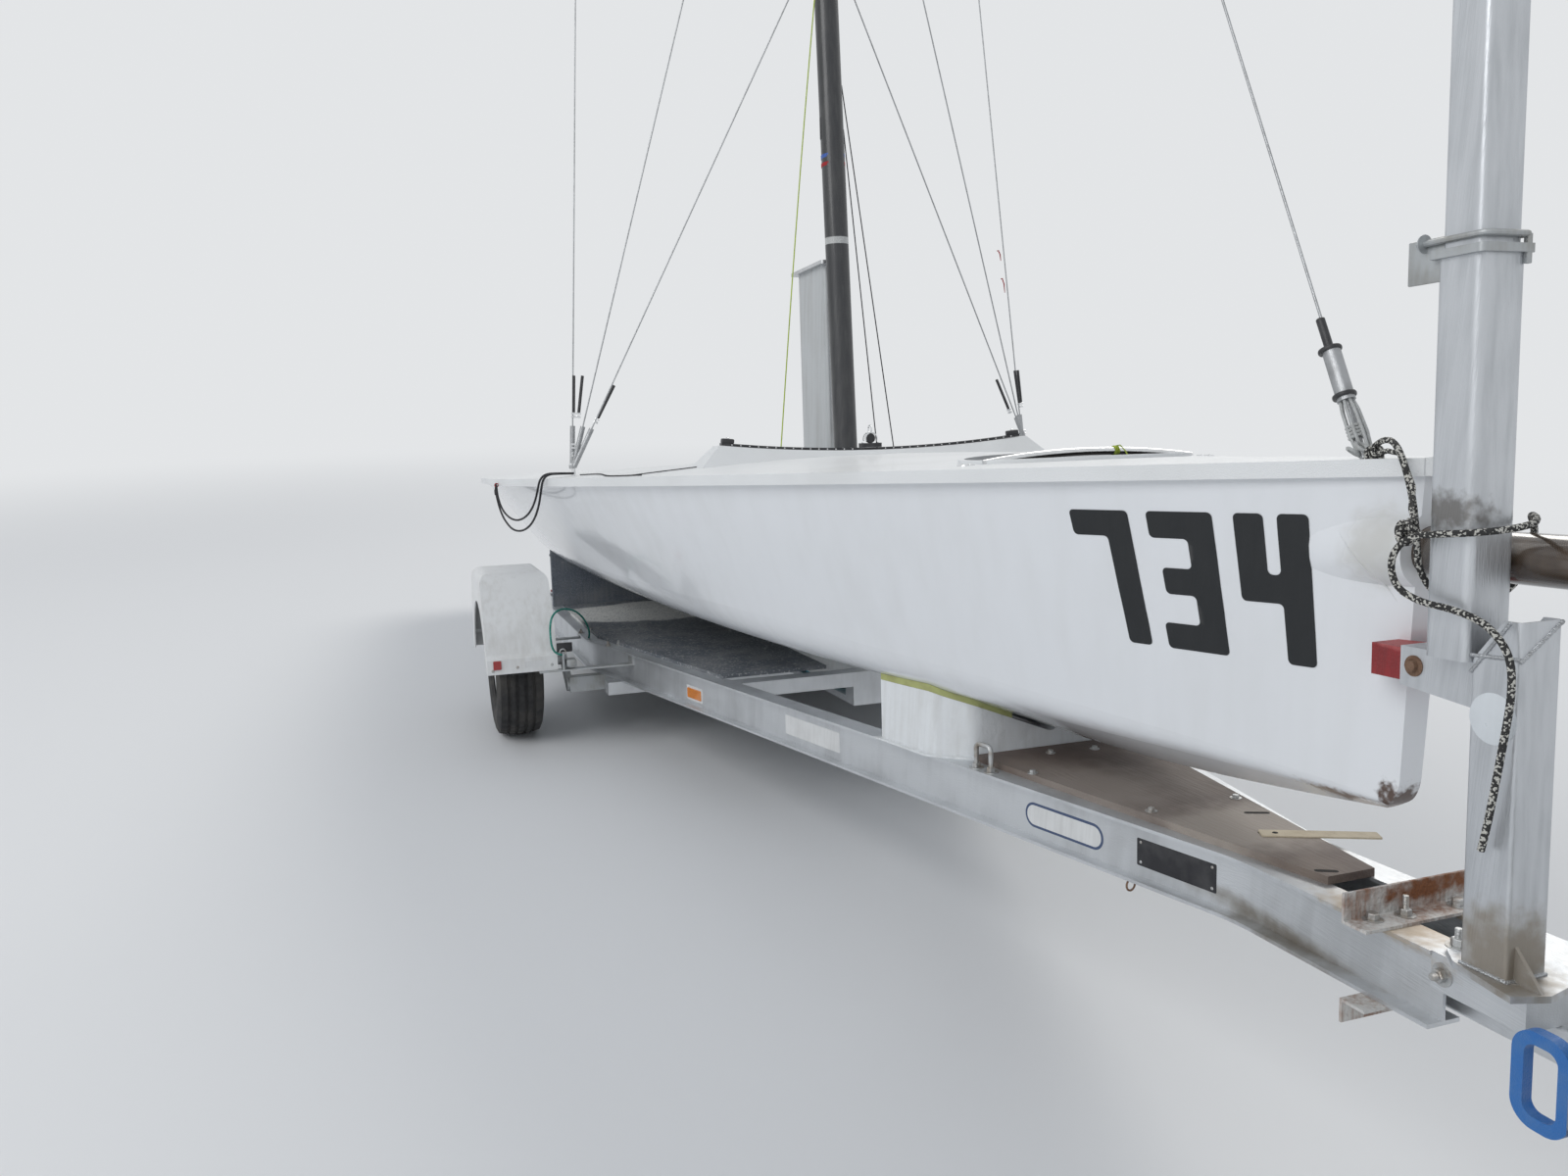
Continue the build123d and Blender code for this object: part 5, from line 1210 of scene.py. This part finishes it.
def make_bow_strand():
    """The taut flecked strand from the bow eye over the lip to the bow rope's knot."""
    strand = bmesh.new()
    eye, normal = on_top("deck", 3.372, -0.030)
    lip, facing = on_top("deck", 3.440, -0.045)
    points = [
        eye + normal * 0.006,
        (eye + lip) / 2 + UP * 0.012,
        lip + facing * 0.007,
        (3.506, -0.090, 0.765),
        (3.530, -0.118, 0.735),
        (3.556, -0.137, 0.716),
    ]
    add_tube(strand, points, 0.0042)
    for index in range(3):
        place = eye + Vector((-0.006 + index * 0.006, index * 0.004, 0.008))
        add_ring(strand, place, (1, index * 0.4, 0.2), 0.009, 0.0040, 18, 6)
    finish_piece("bow_strand", strand, "fleck_braid")
    knot = bmesh.new()
    for index, (x, y, z, lean) in enumerate(BOW_KNOTS):
        add_ring(knot, (x, y, z), (1, lean, 0.3 * index), 0.0105, 0.0046, 20)
    finish_piece("bow_knot", knot, "fleck_braid")


def make_stern_tie():
    """Red lashing and black sleeve that hold the stern rope's fold to the lip."""
    red = bmesh.new()
    for index in range(3):
        place = (-0.281 + index * 0.007, -1.1125, 0.733)
        add_ring(red, place, (1, 0.2 * index - 0.2, 0.1), 0.0072, 0.0019, 18, 6)
    finish_piece("stern_lashing", red, "red_lashing")
    sleeve = bmesh.new()
    add_rod(sleeve, (-0.3045, -1.1142, 0.690), (-0.3040, -1.1150, 0.714), 0.0065)
    finish_piece("stern_sleeve", sleeve, "black_moulding")


# Trailer fittings

SUNK = -0.0002
FILM_THICK = 0.0008
REFLECTOR_X, REFLECTOR_Z = 0.918, -0.004
PLATE_X, PLATE_Z = 2.990, 0.008
OVAL_X, OVAL_Z = 2.688, 0.005
REFLECTOR_EDGE = round_outline(0.122, 0.052, 0.004)

# Piece, finish, x, z and outline of each film and plate on the starboard rail
SIGNS = (
    ("rail_film", "plain_label", 1.675, 0.008, round_outline(0.300, 0.060, 0.004)),
    ("rail_oval_edge", "label_edge", OVAL_X, OVAL_Z, round_outline(0.238, 0.058, 0.0285, 10)),
    ("rail_plate", "track_anodised", PLATE_X, PLATE_Z, round_outline(0.196, 0.058, 0.003)),
    ("reflector_edge", "plain_label", REFLECTOR_X, REFLECTOR_Z, REFLECTOR_EDGE),
)


def add_sign(mesh, side, x, z, outline, proud, thick, bevel=0.0004):
    """A film or plate on a front rail's outer side."""
    spot, normal = on_side("rail_" + SIDE_NAMES[side], x, z, side)
    add_plate(mesh, outline, spot + normal * proud, rail_way(side) * -side, UP, thick, bevel)


def make_rail_signs():
    """Blank film places and the bare plate on the front rails, and their amber reflectors."""
    for label, finish, x, z, outline in SIGNS:
        mesh = bmesh.new()
        add_sign(mesh, -1, x, z, outline, SUNK, FILM_THICK)
        finish_piece(label, mesh, finish)
    inner = bmesh.new()
    add_sign(inner, -1, OVAL_X, OVAL_Z, round_outline(0.226, 0.046, 0.0225, 10), 0.0004, 0.0006)
    finish_piece("rail_oval", inner, "plain_label")
    rivets = bmesh.new()
    middle, normal = on_side("rail_starboard", PLATE_X, PLATE_Z, -1)
    for across in SIDES:
        for high in SIDES:
            place = middle + rail_way(-1) * across * 0.088 + UP * high * 0.021 + normal * 0.0005
            add_dome(rivets, place, normal, 0.0035, 0.0022, 0.0014, 0.0016, 12)
    finish_piece("plate_rivets", rivets, "bolt_zinc")
    amber = bmesh.new()
    lens = round_outline(0.104, 0.036, 0.004)
    for side in SIDES:
        add_sign(amber, side, REFLECTOR_X, REFLECTOR_Z, lens, 0.0004, 0.0035, 0.0012)
    finish_piece("rail_reflectors", amber, "amber_lens")
    edge = bmesh.new()
    add_sign(edge, 1, REFLECTOR_X, REFLECTOR_Z, REFLECTOR_EDGE, SUNK, FILM_THICK)
    finish_piece("reflector_edge_port", edge, "plain_label")


# Place and stud length of each bolt on the nose box, and on the rusty angle
NOSE_BOLTS = ((3.600, -0.075, 0.016), (3.707, -0.100, 0.016), (3.628, 0.000, 0.0))
ANGLE_BOLTS = ((3.470, -0.105, 0.0), (3.476, -0.045, 0.022), (3.478, 0.062, 0.0))
NOSE_TOP = 0.0845
RAIL_TOP = 0.0745
CHOCK_BOLT_X = 2.440


def make_rail_hardware():
    """U-bolts, nuts and studs that hold the cradle, chock, axle and nose together."""
    steel = bmesh.new()
    rusty = bmesh.new()
    for side in SIDES:
        way = rail_way(side)
        y = side * (rail_y(CHOCK_BOLT_X) + 0.010)
        spot = on_top("rail_" + SIDE_NAMES[side], CHOCK_BOLT_X, y, 0.12)[0]
        crown = (CHOCK_BOLT_X, y, spot.z + 0.060)
        add_u_bolt(steel, crown, way, (0, 0, -0.062), 0.026, 0.006)
        for along in (-0.026, 0.026):
            place = (CHOCK_BOLT_X + way.x * along, y + way.y * along, spot.z)
            add_bolt(steel, place, UP, 0.019, 0.010)
        for x in (-0.20, 0.20):
            for offset in (-0.022, 0.022):
                place = (x, side * rail_y(x) + offset, RAIL_TOP)
                add_bolt(steel, place, UP, 0.016, 0.008, True, 0.010)
        add_ring(rusty, (2.895, side * 0.150, -0.062), way, 0.012, 0.0022, 22)
    for x, y, stud in NOSE_BOLTS:
        add_bolt(steel, (x, y, NOSE_TOP), UP, 0.019, 0.011, True, stud)
    for side, stud in ((-1, 0.010), (1, 0.0)):
        add_bolt(steel, *on_side("nose_box", 3.600, 0.045, side), 0.019, 0.011, True, stud)
    for x, y, stud in ANGLE_BOLTS:
        add_bolt(steel, *on_top("nose_angles", x, y, 0.16), 0.017, 0.010, True, stud)
    for x in (4.150, 4.205):
        for side in SIDES:
            add_bolt(rusty, *on_top("coupling", x, side * 0.024, 0.3), 0.019, 0.011)
    finish_piece("frame_bolts", steel, "bolt_zinc")
    finish_piece("frame_bolts_rusty", rusty, "bolt_rusty")


POST_AFT, POST_FORE = 3.6405, 3.7155
POST_STARBOARD, POST_PORT = -0.1195, -0.0445
UPPER_POST_Y = -0.0870
CLAMP_Z = 1.110
WELDS = (
    ((POST_AFT, POST_STARBOARD, 0.536), (POST_FORE, POST_STARBOARD, 0.540)),
    ((POST_AFT, POST_STARBOARD, 0.512), (3.6990, POST_STARBOARD, 0.588)),
    ((POST_FORE, POST_STARBOARD, 0.536), (POST_FORE, POST_PORT, 0.588)),
    ((POST_AFT, POST_STARBOARD, 0.0865), (POST_FORE, POST_STARBOARD, 0.0865)),
    ((POST_FORE, POST_STARBOARD, 0.0865), (POST_FORE, POST_PORT, 0.0865)),
    ((POST_AFT, -0.0920, 0.465), (POST_AFT, -0.0920, 0.525)),
)


def make_post_hardware():
    """Weld beads, the stop arm's rusty bolts, the clear disc and the clamp on the post."""
    welds = bmesh.new()
    for start, end in WELDS:
        start, end = Vector(start), Vector(end)
        count = max(6, int((end - start).length / 0.004))
        radii = [0.0026 + 0.0007 * (step % 2) for step in range(count + 1)]
        add_tube(welds, points_between(start, end, count), radii)
    finish_piece("post_welds", welds, "weld_metal")
    rusty = bmesh.new()
    add_bolt(rusty, (3.520, -0.0920, 0.497), -PORT, 0.017, 0.008)
    add_dome(rusty, (3.464, 0.0425, 0.496), PORT, 0.010, 0.009, 0.006, 0.007, 20)
    finish_piece("arm_bolt", rusty, "bolt_rusty")
    disc = bmesh.new()
    profile = ((-0.0002, 0), (-0.0002, 0.0365), (0.0006, 0.0362), (0.0010, 0.0350), (0.0010, 0))
    add_lathe(disc, (3.678, POST_STARBOARD, 0.452), -PORT, profile, 48)
    finish_piece("post_disc", disc, "disc_clear")
    clamp = bmesh.new()
    leg_y = 0.0405
    add_u_bolt(clamp, (3.6450, UPPER_POST_Y, CLAMP_Z), PORT, (-0.100, 0, 0), leg_y, 0.0045)
    for side in SIDES:
        place = (3.5480, UPPER_POST_Y + side * leg_y, CLAMP_Z)
        add_bolt(clamp, place, -AHEAD, 0.014, 0.008)
    add_block(clamp, (3.5455, -0.1205, 1.0860), (0.061, 0.005, 0.062), AHEAD, UP, 0.002)
    add_block(clamp, (3.6435, -0.0500, 1.0900), (0.007, 0.009, 0.040), AHEAD, UP, 0.001)
    finish_piece("post_u_bolts", clamp, "dull_zinc")


# Place, turn and length of each slot in the front board, and the place of each bolt
BOARD_SLOTS = ((2.995, 0.078, 64, 0.050), (3.105, 0.006, 20, 0.034), (3.298, -0.034, 60, 0.040))
BOARD_BOLTS = (
    (2.425, -0.050), (2.440, 0.065), (2.560, -0.180), (2.560, 0.180), (2.90, -0.105), (2.90, 0.105),
)
SCREW_ROWS = (-0.95, -0.55, -0.15, 0.15, 0.65, 1.00)
NARROW_FROM = 0.2


def make_ply_details():
    """Slots and bolts of the front board, its cream strap, and the floor's screws."""
    slots = bmesh.new()
    # Each slot is a near-black film just under the board's top: painted shade in the hole
    for x, y, turn, length in BOARD_SLOTS:
        spot, normal = on_top("front_ply", x, y, 0.2)
        right = Vector((cos(radians(turn)), sin(radians(turn)), 0))
        place = spot - normal * 0.0006
        outline = round_outline(length, 0.012, 0.0058)
        add_plate(slots, outline, place, right, normal.cross(right), FILM_THICK, 0.0)
    finish_piece("board_slots", slots, "slot_shadow")
    strap = bmesh.new()
    right = Vector((0.47, 0.883, 0)).normalized()
    board = on_top("front_ply", 3.120, 0.040, 0.2)[0]
    middle = Vector((3.150, 0.090, board.z))
    outline = round_outline(0.215, 0.036, 0.005)
    add_plate(strap, outline, middle + UP * 0.0003, right, UP.cross(right), 0.0030, 0.0008)
    finish_piece("cream_strap", strap, "strap_cream")
    # The strap's hole is a near-black disc: painted shade in the hole
    hole = bmesh.new()
    place = middle + UP * 0.0034 - right * 0.080
    add_dome(hole, place, UP, 0.0055, 0.005, 0.0006, 0.0006, 16)
    finish_piece("strap_hole", hole, "slot_shadow")
    bolts = bmesh.new()
    for x, y in BOARD_BOLTS:
        add_bolt(bolts, *on_top("front_ply", x, y, 0.2), 0.013, 0.006)
    finish_piece("board_bolts", bolts, "bolt_zinc")
    screws = bmesh.new()
    for x in SCREW_ROWS:
        for side in SIDES:
            for y in (0.22,) if x > NARROW_FROM else (0.22, 0.52):
                seat = on_top("trailer_floor", x, side * y, 0.12)
                add_dome(screws, *seat, 0.0055, 0.0045, 0.0012, 0.0016, 14)
    finish_piece("floor_screws", screws, "bolt_zinc")


CRADLE_X = -1.180
CRADLE_HALF = 0.785


def make_cradle_padding():
    """The rolled carpet along the rear cradle's top edge, with its staples."""
    roll = bmesh.new()
    staples = bmesh.new()
    points = []
    for step, share in enumerate(shares(60)):
        y = CRADLE_HALF * (2 * share - 1)
        place = on_top("rear_cradle", CRADLE_X, y, 1.2)[0]
        points.append(place + UP * (0.0012 * sin(step * 1.9) - 0.006))
        if step % 5 == 2:
            spot, outward = touch("rear_cradle", (-0.9, y, place.z - 0.035), -AHEAD)
            add_block(staples, spot + outward * 0.0003, (0.012, 0.002, 0.0016), PORT, UP, 0.0005)
    add_tube(roll, points, 0.0245, 14)
    finish_piece("cradle_roll", roll, "cradle_carpet", sharp=60)
    finish_piece("cradle_staples", staples, "bolt_zinc")


GUARD_SCREWS = ((1.130, 0.052), (1.000, 0.052), (1.222, 0.045))


def make_guard_details():
    """Reflectors, screws, the bare label place, bent straps and shackles of the mudguards."""
    red = bmesh.new()
    label = bmesh.new()
    steel = bmesh.new()
    black = bmesh.new()
    grey = bmesh.new()
    # Mesh, place, outline and thickness of each plate on a guard's front
    plates = (
        (red, 1.205, 0.066, round_outline(0.030, 0.034, 0.004), 0.0040),
        (label, 1.062, 0.060, round_outline(0.080, 0.024, 0.004), FILM_THICK),
    )
    for side in SIDES:
        guard = "mudguard_" + SIDE_NAMES[side]
        for mesh, y, z, outline, thick in plates:
            place, facing = touch(guard, (0.60, side * y, z), -AHEAD)
            add_plate(mesh, outline, place + facing * SUNK, PORT, facing.cross(PORT), thick)
        for y, z in GUARD_SCREWS:
            seat = touch(guard, (0.60, side * y, z), -AHEAD)
            add_dome(steel, *seat, 0.006, 0.0045, 0.0018, 0.0022, 14)
        add_block(black, (0.392, side * 0.950, 0.116), (0.006, 0.060, 0.036), AHEAD, UP, 0.002)
        add_block(grey, (0.372, side * 0.926, 0.052), (0.052, 0.040, 0.030), AHEAD, UP, 0.006)
        add_ring(steel, (0.400, side * 0.958, 0.100), AHEAD, 0.011, 0.003, 22)
    finish_piece("guard_reflectors", red, "tail_red")
    finish_piece("guard_screws", steel, "bolt_zinc")
    finish_piece("guard_labels", label, "plain_label")
    finish_piece("guard_straps", black, "black_moulding")
    finish_piece("guard_boxes", grey, "dull_zinc")


WHEEL_Y = 1.110
WHEEL_RADIUS = 0.292
TYRE_HALF = 0.0925
RIM_RADIUS = 0.1735
TREAD_STEPS = 168
TREAD_DEPTH = 0.0125
CROWN_CURVE = 2.2
# Share of the half width and height over the rim, from the bead up the side
TYRE_SIDE = (
    (0.80, 0.0), (0.92, 0.010), (0.99, 0.034), (1.0, 0.052), (0.985, 0.072), (0.965, 0.0745),
    (0.95, 0.088), (0.86, 0.1055), (0.74, 0.1080),
)
GROOVES = (-0.048, -0.017, 0.017, 0.048)
GROOVE_WALLS = ((-0.0065, 0.0), (-0.0050, 0.007), (0.0050, 0.007), (0.0065, 0.0))
SIPE = 0.0035


def tyre_profile():
    """Across and radius of the tyre's outline, from its inner bead to its outer one."""
    flank = [(-TYRE_HALF * share, RIM_RADIUS + rise) for share, rise in TYRE_SIDE]
    crown = []
    for middle in GROOVES:
        for offset, drop in GROOVE_WALLS:
            across = middle + offset
            crown.append((across, WHEEL_RADIUS - drop - CROWN_CURVE * across * across))
    return flank + crown + [(-across, radius) for across, radius in reversed(flank)]


def make_tyre(side):
    """A road tyre with ribs and sipes on the tread, and ridges on its sides."""
    mesh = bmesh.new()
    rings = []
    for across, radius in tyre_profile():
        on_tread = radius > WHEEL_RADIUS - TREAD_DEPTH
        ring = []
        for step in range(TREAD_STEPS):
            turn = tau * step / TREAD_STEPS
            reach = radius - SIPE if on_tread and step % 4 == 0 else radius
            place = (cos(turn) * reach, side * WHEEL_Y + across, sin(turn) * reach)
            ring.append(mesh.verts.new(place))
        rings.append(ring)
    join_rings(mesh, rings)
    name = SIDE_NAMES[side]
    tyre = finish_piece(f"road_tyre_{name}", mesh, "tyre_rubber", f"wheel_{name}", 28)
    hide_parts(f"tyre_{name}")


def make_wheel_fittings(side):
    """Wheel nuts, hub cap and valve."""
    name = SIDE_NAMES[side]
    outward = PORT * side
    nuts = bmesh.new()
    for index in range(5):
        turn = tau * index / 5 + 0.3
        place = (cos(turn) * 0.057, side * 1.6, sin(turn) * 0.057)
        add_bolt(nuts, touch(f"rim_{name}", place, -outward)[0], outward, 0.019, 0.016)
    hub = touch(f"rim_{name}", (0.045, side * 1.6, 0.0), -outward)[0]
    cap = ((-0.002, 0.027), (0.010, 0.0265), (0.022, 0.022), (0.027, 0.014), (0.028, 0))
    add_lathe(nuts, (0, hub.y, 0), outward, cap, 28)
    finish_piece(f"wheel_nuts_{name}", nuts, "bolt_zinc", f"wheel_{name}")
    valve = bmesh.new()
    spot = touch(f"rim_{name}", (0.140, side * 1.6, 0.0), -outward)[0]
    add_rod(valve, spot - outward * 0.001, spot + outward * 0.024, 0.004, 10)
    finish_piece(f"tyre_valve_{name}", valve, "black_moulding", f"wheel_{name}")


LAMP_Z = 0.043


def make_tail_lamp_details():
    """Amber end of each tail lamp's lens, and its screws."""
    amber = bmesh.new()
    screws = bmesh.new()
    lens = round_outline(0.046, 0.058, 0.003)
    for side in SIDES:
        place, facing = touch("tail_lamps", (-2.2, side * 0.680, LAMP_Z), AHEAD)
        add_plate(amber, lens, place + facing * SUNK, -PORT, UP, 0.0022, 0.0008)
        for y in (0.570, 0.640):
            seat = touch("tail_lamps", (-2.2, side * y, LAMP_Z), AHEAD)
            add_dome(screws, *seat, 0.004, 0.003, 0.0012, 0.0014, 12)
    finish_piece("tail_amber", amber, "amber_lens")
    finish_piece("tail_screws", screws, "bolt_zinc")


JACK = Vector((3.872, -0.138, 0))


def make_jack_details():
    """The jack's cap, its crank with the knob, and the tube's rusty bolt."""
    zinc = bmesh.new()
    cap = ((0, 0.030), (0.002, 0.0325), (0.008, 0.0325), (0.010, 0.030), (0.010, 0))
    add_lathe(zinc, JACK + UP * 0.300, UP, cap, 28)
    points = [JACK + UP * 0.330, JACK + UP * 0.345]
    points += arc_points(JACK + Vector((0.016, 0, 0.345)), -AHEAD, UP, 0.016, 0, 90, 6)
    points += [JACK + Vector((0.060, 0, 0.361)), JACK + Vector((0.110, 0, 0.361))]
    add_tube(zinc, points, 0.0055, 10)
    finish_piece("jack_crank", zinc, "jack_zinc")
    grip = bmesh.new()
    knob = (
        (0, 0), (0, 0.010), (0.004, 0.012), (0.030, 0.0135), (0.058, 0.012), (0.062, 0.009), (0.062, 0),
    )
    add_lathe(grip, JACK + Vector((0.112, 0, 0.356)), UP, knob, 22)
    finish_piece("jack_knob", grip, "black_moulding")
    rusty = bmesh.new()
    add_bolt(rusty, JACK + Vector((0.0, -0.0285, 0.150)), -PORT, 0.015, 0.008)
    finish_piece("jack_bolt", rusty, "bolt_rusty")


def make_gudgeon_bolts():
    """The bolts of the rudder gudgeons on the transom."""
    bolts = bmesh.new()
    for z in (0.312, 0.398):
        for side in SIDES:
            add_bolt(bolts, *touch("hull", (-2.8, side * 0.026, z), AHEAD), 0.009, 0.004)
    finish_piece("gudgeon_bolts", bolts, "polished_steel")


for bow_side in SIDES:
    make_numerals(bow_side)
for bow_side in SIDES:
    make_crease(bow_side)
make_track_dots()
make_car_fittings()
make_chute_shade()
make_hoop_fittings()
make_side_eyes()
make_shroud_fittings()
make_mast_fittings()
make_halyards()
make_tell_tales()
make_stay_lashing()
make_bow_strand()
make_stern_tie()
make_rail_signs()
make_rail_hardware()
make_post_hardware()
make_ply_details()
make_cradle_padding()
make_guard_details()
for wheel_side in SIDES:
    make_tyre(wheel_side)
    make_wheel_fittings(wheel_side)
make_tail_lamp_details()
make_jack_details()
make_gudgeon_bolts()

# Floor, backdrop and light

PALE = (0.77, 0.785, 0.80, 1)
FLOOR_COLOUR = (0.78, 0.79, 0.80, 1)
SKY = (0.90, 0.94, 1.0, 1)
FLOOR_SIZE = 240
NEAR, FAR = 6.0, 13.0
LAMP_SIZE = 8


def seen_rays(tree):
    """1 for the rays that show the backdrop: the camera's, and those in gloss and glass."""
    path = tree.nodes.new("ShaderNodeLightPath").outputs
    seen = math_node(tree, "MAXIMUM", path["Is Camera Ray"], path["Is Glossy Ray"])
    return math_node(tree, "MAXIMUM", seen, path["Is Transmission Ray"])


def mix_shaders(tree, share, first, second, end):
    """Two shaders mixed into a tree's last node."""
    mixed = add_node(tree, "MixShader", {0: share, 1: first, 2: second})
    feed(tree, tree.nodes[end].inputs["Surface"], mixed)


def make_floor():
    """A pale floor that keeps the shadow near the trailer and fades into the backdrop."""
    bpy.ops.mesh.primitive_plane_add(size=FLOOR_SIZE)
    floor = bpy.context.object
    floor.name = "floor"
    material = bpy.data.materials.new("pale_floor")
    material.use_nodes = True
    tree = material.node_tree
    shader = shader_of(material)
    shader.inputs["Base Color"].default_value = FLOOR_COLOUR
    shader.inputs["Roughness"].default_value = 0.9
    glow = add_node(tree, "Emission", {"Color": PALE})
    fade = ramp_node(tree, vector_node(tree, "LENGTH", own_place(tree)), NEAR, FAR)
    share = math_node(tree, "MULTIPLY", fade, seen_rays(tree))
    mix_shaders(tree, share, shader.outputs[0], glow, "Material Output")
    floor.data.materials.append(material)


def make_world():
    """Soft light from all round, with a pale backdrop where the camera looks past the floor."""
    world = bpy.data.worlds.new("world")
    bpy.context.scene.world = world
    world.use_nodes = True
    tree = world.node_tree
    light = tree.nodes["Background"]
    light.inputs["Color"].default_value = SKY
    light.inputs["Strength"].default_value = 0.50
    backdrop = add_node(tree, "Background", {"Color": PALE})
    mix_shaders(tree, seen_rays(tree), light.outputs[0], backdrop, "World Output")


def add_lamp(name, place, aim, watts, colour):
    """A soft square lamp that points at aim."""
    data = bpy.data.lights.new(name, "AREA")
    data.shape = "SQUARE"
    data.size = LAMP_SIZE
    data.energy = watts
    data.color = colour
    lamp = bpy.data.objects.new(name, data)
    bpy.context.scene.collection.objects.link(lamp)
    lamp.location = place
    lamp.rotation_euler = (Vector(aim) - Vector(place)).to_track_quat("-Z", "Y").to_euler()


make_floor()
make_world()
add_lamp("key", (5, -12, 10), (0.5, 0, 1), 820, (1, 1, 1))
add_lamp("high_port", (-7, 9, 12), (0, 0, 1), 900, (1, 0.97, 0.92))
bpy.context.scene.view_settings.view_transform = "Standard"
